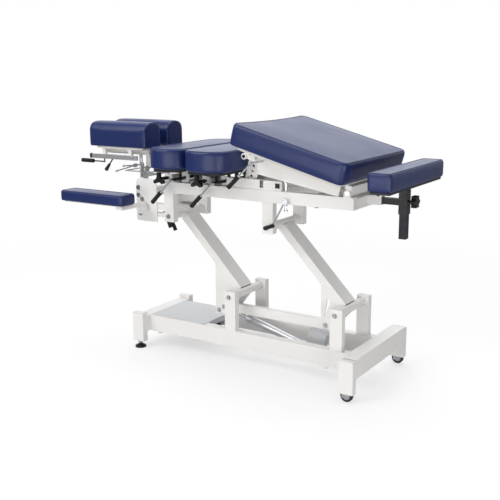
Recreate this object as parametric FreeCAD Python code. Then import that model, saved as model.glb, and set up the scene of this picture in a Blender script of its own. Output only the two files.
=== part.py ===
import FreeCAD, Part
import math
import os

V = FreeCAD.Vector

# Chiropractic treatment table, head end towards -X, patient's right side towards -Y.
# All lengths are millimetres and all angles are degrees.
# While it is built, x is zero at the head end of the base, y at the middle and z on the floor.

# General stock and clearances
tube_wall = 2.5
plate_thickness = 5.0
running_gap = 0.3
pin_clearance = 0.08
overrun = 5.0

# Base frame
base_length = 1150.0
leg_width = 60.0
leg_depth = 30.0
head_leg_span = 380.0
foot_leg_span = 524.0
leg_top = 163.0
head_leg_bottom = 31.0
foot_leg_bottom = 33.0
rail_span = 274.0
rail_depth = 40.0
rail_bottom = 75.0
rail_height = 73.0
foot_cross_bottom = 91.0
foot_cross_height = 78.0
cap_thickness = 2.0

# Lift: four posts and two parallel arms
post_width = 54.0
post_depth = 28.0
post_top = 319.0
post_offset = 5.0
pivot_spacing = 507.0
lower_pivot_x = 500.0
lower_pivot_z = 295.0
arm_length = 450.0
arm_lean = 46.0
arm_breadth = 86.0
arm_depth = 34.0
pivot_tube_radius = 18.0
pivot_shaft_radius = 10.0
bolt_head_radius = 8.0
bolt_head_height = 5.0
washer_radius = 10.5
washer_thickness = 2.0

# Cranks, tie bar and lift actuator
crank_thickness = 6.0
tie_pin_back = 90.0
tie_pin_drop = 79.0
drive_pin_back = 117.0
drive_pin_drop = 97.0
crank_pin_radius = 7.0
head_crank_back = 134.0
foot_crank_back = 111.0
crank_margin = 16.0
crank_window_margin = 14.0
tie_bar_depth = 26.0
tie_bar_height = 40.0
tie_bar_overhang = 13.0
actuator_y = 13.0
rear_pivot_x = 900.0
rear_pivot_z = 55.0
rear_pin_radius = 6.0
rod_radius = 10.0
rod_showing = 124.0
outer_tube_radius = 17.0
actuator_neck = 20.0
rod_eye_radius = 22.0
rod_eye_width = 22.0
drive_slack = 8.6
rod_inside = 197.0
housing_start = 23.0
housing_length = 85.0
gearbox_low = 26.0
gearbox_rise = 30.0
gearbox_depth = 42.0
motor_rise = 96.0
motor_depth = 36.0
rear_eye_radius = 12.0
rear_eye_width = 22.0
clevis_thickness = 6.0
clevis_radius = 14.0
mount_bar_x = 925.0
mount_bar_width = 50.0
mount_bar_height = 8.0

# Control box and its cover
cover_start = 62.0
cover_length = 298.0
cover_span = 262.0
cover_skirt = 22.0
box_start = 70.0
box_length = 226.0
box_span = 180.0
box_bottom = 56.0
box_lid_gap = 6.0
strap_width = 17.0

# Levelling feet and castors
foot_disc_radius = 25.0
foot_disc_height = 7.0
foot_cone_radius = 11.0
foot_cone_height = 8.0
foot_plug_height = 14.0
foot_stud_radius = 6.0
foot_stud_length = 40.0
castor_radius = 25.0
castor_width = 17.0
castor_hub_radius = 15.0
castor_axle_radius = 4.0
castor_cheek = 2.5
castor_cheek_length = 34.0

# Upper frame
beam_span = 280.0
beam_depth = 30.0
beam_rise = 104.29709
beam_height = 49.0
beam_past_hinge = 27.0
ear_width = 50.0
ear_offset = 3.5
ear_drop = 22.5
ear_corner = 42.0
cross_tube_width = 40.0
head_tube_places = (245.0, 450.0, 691.0)
deck_rail_start = 500.0
deck_rail_length = 258.0
deck_rail_depth = 25.0
deck_rail_height = 39.0
deck_rail_inset = 6.0
adjuster_x = 775.0
adjuster_radius = 5.0
adjuster_drop = 35.0
shaft_notch_width = 18.0
shaft_notch_depth = 31.0

# Cushions
cushion_rise = 70.0
cushion_height = 84.0
cushion_crown = 8.0
cushion_roll = 15.0
cushion_corner = 85.0
board_thickness = 12.0
board_inset = 22.0
drop_travel = 10.0
section_gap = 5.0
thoracic_start = 157.0
thoracic_length = 188.0
thoracic_span = 540.0
lumbar_length = 212.0
lumbar_span = 560.0
pelvic_length = 518.0
pelvic_span = 566.0
pelvic_corner = 42.0
pelvic_edge_dip = 14.0
guide_pin_radius = 6.0
guide_pin_length = 74.0
guide_spread = 150.0
guide_bar_width = 30.0
guide_bar_height = 8.0
guide_bar_inset = 52.0

# Cocking levers, cams and tension knobs
lever_shaft_radius = 5.0
lever_shaft_rise = 21.0
lever_near_y = 222.0
lever_far_y = 122.0
lever_angle = 224.0
lever_rod_radius = 4.0
lever_rod_length = 80.0
lever_grip_radius = 9.5
lever_grip_length = 70.0
lever_hub_radius = 8.0
lever_hub_width = 12.0
cam_throw = 20.0
cam_radius = 4.0
cam_width = 12.0
cam_spread = 120.0
follower_gap = 0.5
follower_reach = 7.0
follower_lip = 4.5
cam_arm_thickness = 5.0
thoracic_lever_x = 268.0
lumbar_lever_x = 478.0
pelvic_lever_inset = 99.0
pelvic_lever_rise = 18.0
pelvic_lever_near_y = 242.0
pelvic_lever_far_y = 152.0
bearing_thickness = 8.0
bearing_width = 38.0
bearing_crown = 18.0
thoracic_knob_x = 176.0
lumbar_knob_x = 378.0
knob_shaft_rise = 15.0
knob_shaft_radius = 5.0
knob_near_y = 176.0
knob_thickness = 14.0
knob_hub_radius = 13.0
knob_lobe_radius = 8.0
knob_lobe_reach = 22.0
tension_tube_radius = 13.0
tension_tube_length = 86.0

# Pelvic section
pelvic_tilt = 15.0
hinge_back = 33.0
pelvic_hinge_rise = 14.5
pelvic_tube_radius = 14.0
pelvic_pin_radius = 8.0
hinge_lug_thickness = 12.0
side_plate_gap = 1.0
side_plate_start = 640.0
side_plate_low = 732.0
side_plate_heel = 17.0
side_plate_tail = 765.0
side_plate_back = 30.0
end_bracket_start = 574.0
end_bracket_low = 776.0
drop_clearance = 1.0
pelvic_bar_thickness = 7.0
pelvic_bar_starts = (594.0, 722.0)
pelvic_bar_widths = (36.0, 68.0)
head_pin_places = (612.0, 742.0)
tail_bar_back = 67.0
tail_pin_back = 47.0
lock_plate_start = 576.0
lock_plate_width = 54.0
lock_plate_low = 677.0
lock_plate_y = 98.0
lock_hole_radius = 6.0
lock_holes = 5
strut_y = 45.0
strut_reach = 130.0
strut_tube_offset = 38.0
strut_base_rise = 25.0
strut_past_lever = 76.0
strut_top_rise = 6.5
strut_body_radius = 11.0
strut_body_share = 0.62
strut_rod_radius = 5.0
strut_rod_length = 100.0
strut_eye_radius = 14.0
strut_eye_width = 10.0
strut_pin_radius = 4.0
strut_slack = 4.9
strut_lug_thickness = 5.0
release_pivot_x = 787.0
release_pivot_rise = 14.0
release_shaft_radius = 4.5
release_shaft_inner = 105.0
release_hub_radius = 12.0
release_hub_width = 10.0
release_near_y = 158.0
release_rod_radius = 3.5
release_rod_back = 56.0
release_rod_drop = 104.0
release_grip_radius = 8.0
release_grip_length = 62.0

# Foot section
sleeve_length = 268.0
sleeve_past_beam = 59.0
sleeve_size = 34.0
sleeve_rise = 9.0
sleeve_wall = 4.2
slide_tube_inset = 10.0
slide_tube_size = 25.0
slide_tube_wall = 2.0
collar_inset = 39.5
collar_size = 35.0
collar_drop = 20.0
collar_rise = 26.0
collar_wall = 2.5
post_size = 29.4
post_drop = 117.0
foot_plate_inset = 10.0
foot_plate_rise = 39.0
foot_plate_thickness = 9.0
foot_gap = 103.0
foot_cushion_width = 96.0
foot_cushion_span = 536.0
foot_cushion_height = 67.0
foot_cushion_crown = 6.0
foot_cushion_corner = 20.0
clamp_rise = 31.0
clamp_stud_radius = 4.0
clamp_stud_showing = 15.0
star_radius = 26.0
star_lobe_radius = 6.0
star_thickness = 20.0
star_lobes = 6

# Head section
head_plate_start = 11.0
head_plate_width = 116.0
head_plate_drop = 135.0
head_plate_height = 191.0
head_plate_corner = 24.0
plate_bolt_shares = ((0.12, 0.78), (0.12, 0.60), (0.30, 0.51), (0.20, 0.17))
upper_link_drop = 80.0
upper_link_height = 27.0
lower_link_drop = 112.0
lower_link_height = 18.0
link_start = 40.0
head_beam_x = 25.0
head_beam_width = 38.0
head_beam_drop = 33.0
head_beam_height = 40.0
riser_sleeve_size = 24.0
riser_sleeve_wall = 3.0
riser_sleeve_drop = 63.0
riser_sleeve_height = 80.0
riser_y = 78.0
riser_drop = 83.0
riser_head_rise = 4.0
riser_head_height = 20.0
riser_head_half = 100.0
riser_lug_y = 67.0
riser_lug_thickness = 10.0
riser_ear_thickness = 5.0
tilt_pivot_rise = 43.0
tilt_pin_radius = 5.0
tilt_lug_radius = 9.0
bracket_y = 57.5
bracket_thickness = 5.0
bracket_start = -232.0
bracket_strip_rise = 99.0
bracket_strip_height = 21.0
bracket_leg = 20.0
cushion_bar_width = 20.0
cushion_bar_thickness = 6.0
cushion_bar_half = 122.0
cushion_bar_places = (-205.0, -50.0)
slot_link_x = -32.0
slot_link_width = 17.0
slot_link_rise = 19.0
slot_link_top_rise = 108.0
slot_width = 7.0
head_board_thickness = 9.7
head_cushion_rise = 136.0
head_cushion_start = -266.0
head_cushion_length = 331.0
head_cushion_inner = 25.0
head_cushion_width = 111.0
head_cushion_height = 113.0
head_board_inset = 12.0
head_arch_share = 0.41
head_end_roll = 16.0
pull_bar_start = -272.0
pull_bar_length = 270.0
pull_bar_rise = 78.0
pull_bar_depth = 12.0
pull_bar_y = 114.0
pull_cap_length = 12.0
pull_grip_radius = 9.5
pull_grip_length = 74.0
pull_grip_end = -340.0
pull_grip_rise = 64.0
small_lever_radius = 3.0
ball_radius = 6.5
lock_pivot_rise = 62.0
lock_hub_radius = 9.0
lock_hub_width = 12.0
lock_near_y = 152.0
lock_ball_places = ((-99.0, 802.0), (-56.0, 828.0))
cone_grip_x = -149.0
cone_grip_start_y = 136.0
cone_grip_rise = 57.0
cone_grip_length = 34.0
cone_grip_radius = 8.5
rail_rod_radius = 3.0
rail_rod_start = -92.0
rail_rod_end = 112.0
release_bar_x = 125.0
release_bar_drop = 103.0
release_bar_radius = 6.0
height_lever_hub_radius = 10.0
height_lever_hub_width = 12.0
height_lever_angle = 295.0
height_lever_places = (60.0, 85.0)
height_lever_lengths = (88.0, 70.0)
height_lever_root = 6.0
height_lever_end = 9.0

# Arm rest
arm_cushion_start = -276.0
arm_cushion_length = 366.0
arm_cushion_near = 334.0
arm_cushion_width = 98.0
arm_cushion_drop = 44.0
arm_cushion_height = 46.0
arm_cushion_crown = 3.0
arm_cushion_corner = 16.0
arm_plate_inset = 16.0
arm_plate_thickness = 4.0
arm_pivot_x = 60.0
arm_pivot_drop = 73.0
arm_bar_width = 34.0
arm_bar_thickness = 14.0
arm_hub_radius = 24.0
arm_hub_width = 24.0
arm_hub_gap = 9.0
arm_pin_radius = 8.0

# Modelling
match = 0.01


def block(x, y, z):
    """Solid box between low and high values."""
    return Part.makeBox(x[1] - x[0], y[1] - y[0], z[1] - z[0], V(x[0], y[0], z[0]))


def span(low, size):
    """Low and high values from a low value and a size."""
    return (low, low + size)


def about(middle, size):
    """Low and high values of a size centred on a middle value."""
    return (middle - size / 2, middle + size / 2)


def grown(pair, amount):
    """A low and high value moved apart by an amount at each end."""
    return (pair[0] - amount, pair[1] + amount)


def box_tube(x, y, z, wall, axis):
    """Open-ended rectangular tube along the named axis."""
    spans = {"x": x, "y": y, "z": z}
    inner = {name: grown(pair, overrun if name == axis else -wall) for name, pair in spans.items()}
    return block(x, y, z).cut(block(inner["x"], inner["y"], inner["z"]))


def rod(start, end, radius):
    """Round bar from one point to another."""
    return Part.makeCylinder(radius, (end - start).Length, start, end - start)


def bar_y(x, z, y, radius):
    """Round bar along Y between two y values."""
    return rod(V(x, y[0], z), V(x, y[1], z), radius)


def drilled(shape, x, z, y, radius):
    """A shape with a round hole along Y through it."""
    return shape.cut(bar_y(x, z, grown(y, overrun), radius))


def plate(outline, y):
    """Flat plate with an outline of (x, z) points, thick along Y."""
    points = [V(x, y[0], z) for x, z in outline]
    face = Part.Face(Part.makePolygon(points + points[:1]))
    return face.extrude(V(0, y[1] - y[0], 0))


def rounded(shape, radius, wanted):
    """A shape with its wanted straight edges rounded."""
    edges = [edge for edge in shape.Edges if wanted(edge)]
    return shape.makeFillet(radius, edges)


def runs_along(edge, axis):
    """True for a straight edge along the axis."""
    direction = edge.lastVertex().Point - edge.firstVertex().Point
    return abs(abs(direction.normalize().dot(axis)) - 1) < 1e-6 if direction.Length else False


def mirrored(shape):
    """The same shape on the other side of the middle plane."""
    return shape.mirror(V(0, 0, 0), V(0, 1, 0))


def both_sides(shape):
    """A shape and its mirror image as separate solids."""
    return Part.makeCompound([shape, mirrored(shape)])


def group(shapes):
    """Separate solids kept together under one name."""
    return Part.makeCompound(shapes)


def swung(shape, x, z, angle):
    """A shape turned about an axis along Y; positive lifts the head side."""
    turned = shape.copy()
    turned.rotate(V(x, 0, z), V(0, 1, 0), angle)
    return turned


def polar(x, z, reach, angle):
    """The x and z of a point at a reach and angle from another, anticlockwise from +X."""
    turn = math.radians(angle)
    return x + reach * math.cos(turn), z + reach * math.sin(turn)


def pad_wire(x, y, corner, z, dip):
    """Closed outline of a pad: straight sides, round corners and a head edge that dips in."""
    corner = min(corner, corner_limit_share * (x[1] - x[0]), corner_limit_share * (y[1] - y[0]))
    slack = corner * (1 - math.cos(math.radians(45)))
    left, right, near, far = x[0], x[1], y[0], y[1]
    runs = [
        (V(left + corner, near, z), V(right - corner, near, z)),
        (V(right, near + corner, z), V(right, far - corner, z)),
        (V(right - corner, far, z), V(left + corner, far, z)),
        (V(left, far - corner, z), V(left, near + corner, z)),
    ]
    bends = [
        V(right - slack, near + slack, z),
        V(right - slack, far - slack, z),
        V(left + slack, far - slack, z),
        V(left + slack, near + slack, z),
    ]
    edges = []
    for index, (start, end) in enumerate(runs):
        if dip and index == len(runs) - 1:
            middle = (start + end) / 2 + V(dip, 0, 0)
            edges.append(Part.Arc(start, middle, end).toShape())
        else:
            edges.append(Part.makeLine(start, end))
        following = runs[(index + 1) % len(runs)][0]
        edges.append(Part.Arc(end, bends[index], following).toShape())
    return Part.Wire(edges)


corner_limit_share = 0.47
crown_share = 0.33

# Height and inset shares of a cushion's sections, from the board up to the crown.
cushion_section_shares = (
    (0.0, 0.55), (0.10, 0.16), (0.30, 0.02), (0.55, 0.0), (0.78, 0.14), (0.92, 0.50), (1.0, 1.15),
)


def cushion(x, y, bottom, height, corner, crown, dip=0):
    """Upholstered pad with drawn-in sides, a rolled top edge and a crown."""
    wires = []
    for rise, inset in cushion_section_shares:
        step = inset * cushion_roll
        radius = max(corner - step, corner / 2)
        wires.append(pad_wire(grown(x, -step), grown(y, -step), radius, bottom + rise * height, dip))
    depth = crown_share * min(x[1] - x[0], y[1] - y[0])
    wires.append(pad_wire(grown(x, -depth), grown(y, -depth), corner, bottom + height + crown, dip))
    return Part.makeLoft(wires, True, True)


def arch_wire(x, y, z, drop):
    """Closed outline across a head cushion: flat base, upright sides and an arched top."""
    spring = z[1] - head_arch_share * (y[1] - y[0]) - drop
    base = [V(x, y[0], z[0]), V(x, y[1], z[0])]
    crown = V(x, (y[0] + y[1]) / 2, z[1] - drop)
    left, right = V(x, y[0], spring), V(x, y[1], spring)
    edges = [Part.makeLine(base[0], base[1]), Part.makeLine(base[1], right)]
    edges.append(Part.Arc(right, crown, left).toShape())
    edges.append(Part.makeLine(left, base[0]))
    return Part.Wire(edges)


# Length and inset shares of a head cushion's sections, from its head end.
arch_section_shares = ((0.0, 1.0), (0.016, 0.35), (0.06, 0.0), (0.94, 0.0), (0.984, 0.35), (1.0, 1.0))


def arched_cushion(x, y, z):
    """Long cushion with an arched top and rounded ends."""
    wires = []
    for along, inset in arch_section_shares:
        step = inset * head_end_roll
        across = grown(y, -step)
        wires.append(arch_wire(x[0] + along * (x[1] - x[0]), across, z, step))
    return Part.makeLoft(wires, True, True)


def hex_bolt(start, direction):
    """Bolt head and washer that stand on a surface at a point."""
    unit = V(direction).normalize()
    washer = Part.makeCylinder(washer_radius, washer_thickness, start, unit)
    points = []
    for step in range(6):
        turn = math.radians(60 * step)
        points.append(V(math.cos(turn), math.sin(turn), 0) * bolt_head_radius)
    face = Part.Face(Part.makePolygon(points + points[:1]))
    head = face.extrude(V(0, 0, bolt_head_height))
    head.Placement = FreeCAD.Placement(start + unit * washer_thickness, FreeCAD.Rotation(V(0, 0, 1), unit))
    return washer.fuse(head)


# Places worked out from the driving dimensions
foot_pivot_x = lower_pivot_x + pivot_spacing
upper_pivot_x, upper_pivot_z = polar(lower_pivot_x, lower_pivot_z, arm_length, 180 - arm_lean)
rail_top = rail_bottom + rail_height
rail_outer = rail_span / 2
post_inner = rail_outer - post_depth
beam_outer = beam_span / 2
beam_inner = beam_outer - beam_depth
beam_bottom = upper_pivot_z + beam_rise
beam_top = beam_bottom + beam_height
adjuster_bottom = beam_bottom - adjuster_drop
cushion_bottom = beam_top + cushion_rise
lever_shaft_z = beam_top + lever_shaft_rise
pelvic_lever_z = beam_top + pelvic_lever_rise
knob_shaft_z = beam_top + knob_shaft_rise
pelvic_hinge_z = beam_top + pelvic_hinge_rise
strut_base_z = beam_bottom + strut_base_rise
release_pivot_z = beam_bottom + release_pivot_rise
sleeve_bottom = beam_bottom + sleeve_rise
collar_bottom = beam_bottom - collar_drop
collar_top = beam_top + collar_rise
post_bottom = beam_bottom - post_drop
foot_plate_bottom = beam_top + foot_plate_rise
clamp_z = beam_bottom + clamp_rise
head_plate_bottom = beam_bottom - head_plate_drop
upper_link_bottom = beam_bottom - upper_link_drop
lower_link_bottom = beam_bottom - lower_link_drop
head_beam_bottom = beam_bottom - head_beam_drop
riser_sleeve_bottom = beam_bottom - riser_sleeve_drop
riser_bottom = beam_bottom - riser_drop
riser_head_bottom = beam_top + riser_head_rise
tilt_pivot_z = beam_top + tilt_pivot_rise
bracket_strip_bottom = beam_top + bracket_strip_rise
slot_link_bottom = beam_bottom + slot_link_rise
slot_link_top = beam_top + slot_link_top_rise
head_cushion_bottom = beam_top + head_cushion_rise
pull_bar_bottom = beam_top + pull_bar_rise
pull_grip_z = beam_top + pull_grip_rise
lock_pivot_z = beam_top + lock_pivot_rise
cone_grip_start_z = beam_top + cone_grip_rise
release_bar_z = beam_bottom - release_bar_drop
arm_cushion_bottom = beam_bottom - arm_cushion_drop
arm_pivot_z = beam_bottom - arm_pivot_drop
ear_bottom = upper_pivot_z - ear_drop
tie_pin_z = lower_pivot_z - tie_pin_drop
drive_pin_x = lower_pivot_x - drive_pin_back
drive_pin_z = lower_pivot_z - drive_pin_drop
arm_half = arm_breadth / 2
crank_inner = arm_half - crank_thickness
board_bottom = cushion_bottom - board_thickness
thoracic_x = span(thoracic_start, thoracic_length)
lumbar_x = span(thoracic_x[1] + section_gap, lumbar_length)
pelvic_x = span(lumbar_x[1] + section_gap, pelvic_length)
pelvic_hinge_x = pelvic_x[1] - hinge_back
pelvic_pin_places = head_pin_places + (pelvic_hinge_x - tail_pin_back,)
pelvic_lever_x = pelvic_x[0] + pelvic_lever_inset
strut_top_x = pelvic_lever_x + strut_past_lever
strut_base_x = strut_top_x + strut_reach
beam_end = pelvic_hinge_x + beam_past_hinge
cross_tube_places = head_tube_places + (strut_base_x + strut_tube_offset, beam_end - cross_tube_width / 2)
sleeve_end = beam_end + sleeve_past_beam
sleeve_start = sleeve_end - sleeve_length
slide_tube_start = sleeve_start + slide_tube_inset
foot_cushion_start = pelvic_x[1] + foot_gap
collar_x = foot_cushion_start + collar_inset
frame_start = upper_pivot_x + ear_offset - ear_width / 2
plate_outer = beam_outer + plate_thickness
pelvic_plate = (beam_outer + side_plate_gap, beam_outer + side_plate_gap + plate_thickness)
drop_space = drop_travel + drop_clearance
pelvic_frame_top = board_bottom - drop_space
deck_rail_top = beam_top + deck_rail_height
riser_x = head_beam_x - riser_sleeve_size / 2
foot_cushion_bottom = foot_plate_bottom + foot_plate_thickness


def base_rails():
    rail = box_tube(
        (leg_width, base_length - leg_width),
        (-rail_outer, rail_depth - rail_outer),
        (rail_bottom, rail_top),
        tube_wall, "x",
    )
    return both_sides(rail)


def base_cross_members():
    head_half = head_leg_span / 2 - leg_depth
    foot_half = foot_leg_span / 2 - leg_depth
    foot_x = (base_length - leg_width, base_length)
    foot_z = span(foot_cross_bottom, foot_cross_height)
    head = box_tube((0, leg_width), (-head_half, head_half), (rail_bottom, rail_top), tube_wall, "y")
    foot = box_tube(foot_x, (-foot_half, foot_half), foot_z, tube_wall, "y")
    return group([head, foot])


def leg(x, span_over_legs, bottom):
    outer = span_over_legs / 2
    return box_tube(x, (-outer, leg_depth - outer), (bottom, leg_top), tube_wall, "z")


def base_legs():
    head_x = (0, leg_width)
    foot_x = (base_length - leg_width, base_length)
    head = leg(head_x, head_leg_span, head_leg_bottom)
    foot = leg(foot_x, foot_leg_span, foot_leg_bottom)
    return group([head, mirrored(head), foot, mirrored(foot)])


def post_x(pivot):
    return about(pivot + post_offset, post_width)


def lift_posts():
    shapes = []
    for pivot in (lower_pivot_x, foot_pivot_x):
        y = (-rail_outer, -post_inner)
        post = box_tube(post_x(pivot), y, (rail_top, post_top), tube_wall, "z")
        post = drilled(post, pivot, lower_pivot_z, y, pivot_shaft_radius)
        shapes += [post, mirrored(post)]
    return group(shapes)


def end_caps():
    """Plastic caps that close the tops of the legs and posts."""
    shapes = []
    places = [
        ((0, leg_width), (-head_leg_span / 2, leg_depth - head_leg_span / 2), leg_top),
        ((base_length - leg_width, base_length), span(-foot_leg_span / 2, leg_depth), leg_top),
        (post_x(lower_pivot_x), (-rail_outer, -post_inner), post_top),
        (post_x(foot_pivot_x), (-rail_outer, -post_inner), post_top),
    ]
    for x, y, top in places:
        cap = block(x, y, span(top, cap_thickness))
        shapes += [cap, mirrored(cap)]
    return group(shapes)


def lower_pivot_shafts():
    shapes = []
    for pivot in (lower_pivot_x, foot_pivot_x):
        shaft = bar_y(pivot, lower_pivot_z, (-rail_outer, rail_outer), pivot_shaft_radius)
        near = hex_bolt(V(pivot, -rail_outer, lower_pivot_z), V(0, -1, 0))
        shapes.append(shaft.fuse([near, mirrored(near)]))
    return group(shapes)


def base_cover():
    """Sheet cover over the control box, folded down at its four edges."""
    x = span(cover_start, cover_length)
    y = about(0, cover_span)
    z = (rail_top, rail_top + plate_thickness / 2)
    top = block(x, y, z)
    inner_y = (rail_depth - rail_outer, rail_outer - rail_depth)
    skirt_z = (rail_top - cover_skirt, rail_top)
    skirt = block(x, grown(inner_y, -running_gap), skirt_z)
    hollow = block(grown(x, -plate_thickness / 2), grown(inner_y, -plate_thickness), grown(skirt_z, overrun))
    return top.fuse(skirt.cut(hollow.cut(top)))


def control_box():
    x = span(box_start, box_length)
    y = about(0, box_span)
    z = (box_bottom, rail_top - cover_skirt - box_lid_gap)
    body = rounded(block(x, y, z), box_lid_gap, lambda edge: runs_along(edge, V(0, 0, 1)))
    lid = block(grown(x, -box_lid_gap), grown(y, -box_lid_gap), (z[1], rail_top - cover_skirt))
    return body.fuse(lid)


def control_box_straps():
    """Two straps across the rails that hold the control box."""
    shapes = []
    for x in (box_start, box_start + box_length - strap_width):
        strap = block(span(x, strap_width), (rail_depth - rail_outer, rail_outer - rail_depth),
                      span(box_bottom - plate_thickness, plate_thickness))
        near = block(span(x, strap_width), span(rail_depth - rail_outer, plate_thickness),
                     (box_bottom - plate_thickness, rail_bottom))
        foot_y = (tube_wall - rail_outer, rail_depth - rail_outer + plate_thickness)
        foot = block(span(x, strap_width), foot_y, (rail_bottom - plate_thickness, rail_bottom))
        strap = strap.fuse([near, mirrored(near), foot, mirrored(foot)])
        shapes.append(strap.removeSplitter())
    return group(shapes)


def levelling_foot():
    middle = leg_depth / 2 - head_leg_span / 2
    x = leg_width / 2
    disc = Part.makeCylinder(foot_disc_radius, foot_disc_height, V(x, middle, 0))
    cone = Part.makeCone(foot_disc_radius, foot_cone_radius, foot_cone_height, V(x, middle, foot_disc_height))
    low = foot_disc_height + foot_cone_height
    stud = Part.makeCylinder(foot_stud_radius, foot_stud_length, V(x, middle, low))
    return disc.fuse([cone, stud]).removeSplitter()


def foot_nuts():
    """Threaded plugs in the head-end legs that the levelling feet screw into."""
    middle = leg_depth / 2 - head_leg_span / 2
    inside = leg_depth / 2 - tube_wall
    plug = block(
        (tube_wall, leg_width - tube_wall),
        (middle - inside, middle + inside),
        span(head_leg_bottom, foot_plug_height),
    )
    bore = Part.makeCylinder(
        foot_stud_radius + pin_clearance, foot_plug_height + overrun * 2,
        V(leg_width / 2, middle, head_leg_bottom - overrun),
    )
    return both_sides(plug.cut(bore))


def castor_middle():
    return leg_depth / 2 - foot_leg_span / 2


def castor_fork():
    """Steel fork that is pressed into the leg and reaches down beside the wheel."""
    x = base_length - leg_width / 2
    inside = leg_depth / 2 - tube_wall
    middle = castor_middle()
    low = castor_radius - castor_axle_radius * 2
    cheek_x = about(x, castor_cheek_length)
    near = block(cheek_x, span(middle - inside, castor_cheek), (low, castor_radius * 2 + overrun))
    cheek_z = (low, castor_radius * 2 + overrun)
    far = block(cheek_x, span(middle + inside - castor_cheek, castor_cheek), cheek_z)
    roof = block(cheek_x, (middle - inside, middle + inside), span(castor_radius * 2 + overrun, castor_cheek))
    fork = near.fuse([far, roof]).removeSplitter()
    fork = drilled(fork, x, castor_radius, (middle - inside, middle + inside), castor_axle_radius)
    axle = bar_y(x, castor_radius, (middle - inside, middle + inside), castor_axle_radius)
    return fork.fuse(axle)


def castor_tyre():
    x = base_length - leg_width / 2
    y = about(castor_middle(), castor_width)
    tyre = bar_y(x, castor_radius, y, castor_radius)
    tyre = round_ends(tyre, castor_cheek)
    return drilled(tyre, x, castor_radius, y, castor_hub_radius)


def castor_hub():
    x = base_length - leg_width / 2
    y = about(castor_middle(), castor_width)
    return drilled(bar_y(x, castor_radius, y, castor_hub_radius), x, castor_radius, y,
                   castor_axle_radius + pin_clearance)


def arm_tube(pivot):
    """Box-section lift arm between its two pivot tubes."""
    along = (pivot_tube_radius - tube_wall, arm_length - pivot_tube_radius + tube_wall)
    outer = block(along, (-arm_half, arm_half), about(0, arm_depth))
    inner = block(grown(along, overrun), grown((-arm_half, arm_half), -tube_wall),
                  about(0, arm_depth - tube_wall * 2))
    bar = outer.cut(inner)
    bar.rotate(V(0, 0, 0), V(0, 1, 0), arm_lean - 180)
    bar.translate(V(pivot, 0, lower_pivot_z))
    top_x = pivot - arm_length * math.cos(math.radians(arm_lean))
    for x, z in ((pivot, lower_pivot_z), (top_x, upper_pivot_z)):
        bar = drilled(bar, x, z, (-arm_half, arm_half), pivot_tube_radius)
    return bar


def arm_pivot_tubes(pivot):
    top_x = pivot - arm_length * math.cos(math.radians(arm_lean))
    shapes = []
    for x, z, inner in ((pivot, lower_pivot_z, post_inner), (top_x, upper_pivot_z, beam_inner)):
        y = (running_gap - inner, inner - running_gap)
        tube = bar_y(x, z, y, pivot_tube_radius)
        shapes.append(drilled(tube, x, z, y, pivot_shaft_radius + pin_clearance))
    return group(shapes)


def underside(pivot, reach):
    """Point on the lower face of an arm at a reach from its lower pivot."""
    x, z = polar(pivot, lower_pivot_z, reach, 180 - arm_lean)
    return polar(x, z, arm_depth / 2, 270 - arm_lean)


def crank_plates(pivot, back, pins, windowed):
    """Pair of plates under an arm for the pins of the tie bar and the actuator, with or without a window."""
    left = pivot - back
    reach = (back - arm_depth / 2 * math.sin(math.radians(arm_lean))) / math.cos(math.radians(arm_lean))
    corner = underside(pivot, reach)
    low = min(z for x, z in pins) - crank_margin
    right = max(x for x, z in pins) + crank_margin
    heel = underside(pivot, pivot_tube_radius)
    outline = [corner, (left, low), (right, low), (pivot, lower_pivot_z - pivot_tube_radius), heel]
    y = (-arm_half, -crank_inner)
    sheet = plate(outline, y)
    sheet = drilled(sheet, pivot, lower_pivot_z, y, pivot_tube_radius)
    if windowed:
        window = [
            (left + crank_window_margin * 2, corner[1] - crank_window_margin * 4),
            (left + crank_window_margin, low + crank_margin * 3),
            (left + crank_window_margin * 3, corner[1] - crank_window_margin * 5),
        ]
        sheet = sheet.cut(plate(window, grown(y, overrun)))
    for x, z in pins:
        sheet = drilled(sheet, x, z, y, crank_pin_radius)
    return both_sides(sheet)


def crank_pins(pins):
    """Pins across a crank with a bolt head at each end."""
    shapes = []
    for x, z in pins:
        pin = bar_y(x, z, (-arm_half, arm_half), crank_pin_radius)
        near = hex_bolt(V(x, -arm_half, z), V(0, -1, 0))
        shapes.append(pin.fuse([near, mirrored(near)]))
    return group(shapes)


def tie_bar():
    """Box bar that keeps both cranks turning together."""
    y = span(running_gap - crank_inner, tie_bar_depth)
    x = (lower_pivot_x - tie_pin_back, foot_pivot_x - tie_pin_back)
    z = about(tie_pin_z, tie_bar_height)
    bar = box_tube(grown(x, tie_bar_overhang), y, z, tube_wall, "x")
    for place in x:
        boss = bar_y(place, tie_pin_z, y, crank_pin_radius + tube_wall * 2)
        bar = bar.fuse(boss)
    for place in x:
        bar = drilled(bar, place, tie_pin_z, y, crank_pin_radius + pin_clearance)
    return bar.removeSplitter()


actuator_length = math.hypot(rear_pivot_x - drive_pin_x, drive_pin_z - rear_pivot_z)
actuator_rise = math.degrees(math.atan2(drive_pin_z - rear_pivot_z, rear_pivot_x - drive_pin_x))


def on_actuator(shape):
    """Turn a shape that lies along -X from the rear pivot into the actuator's line."""
    placed = shape.copy()
    placed.rotate(V(0, 0, 0), V(0, 1, 0), actuator_rise)
    placed.translate(V(rear_pivot_x, actuator_y, rear_pivot_z))
    return placed


def along_actuator(low, high, radius):
    """Round bar on the actuator's line, measured forward from its rear pivot."""
    return rod(V(-low, 0, 0), V(-high, 0, 0), radius)


tube_front = actuator_length - rod_showing
housing_end = housing_start + housing_length


def actuator_tube():
    """Outer tube of the actuator with its front neck."""
    tube = along_actuator(housing_end, tube_front, outer_tube_radius)
    neck = along_actuator(tube_front - actuator_neck, tube_front, outer_tube_radius + tube_wall)
    bore = along_actuator(housing_end + tube_wall, tube_front + overrun, rod_radius + pin_clearance)
    return on_actuator(tube.fuse(neck).cut(bore).removeSplitter())


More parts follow.
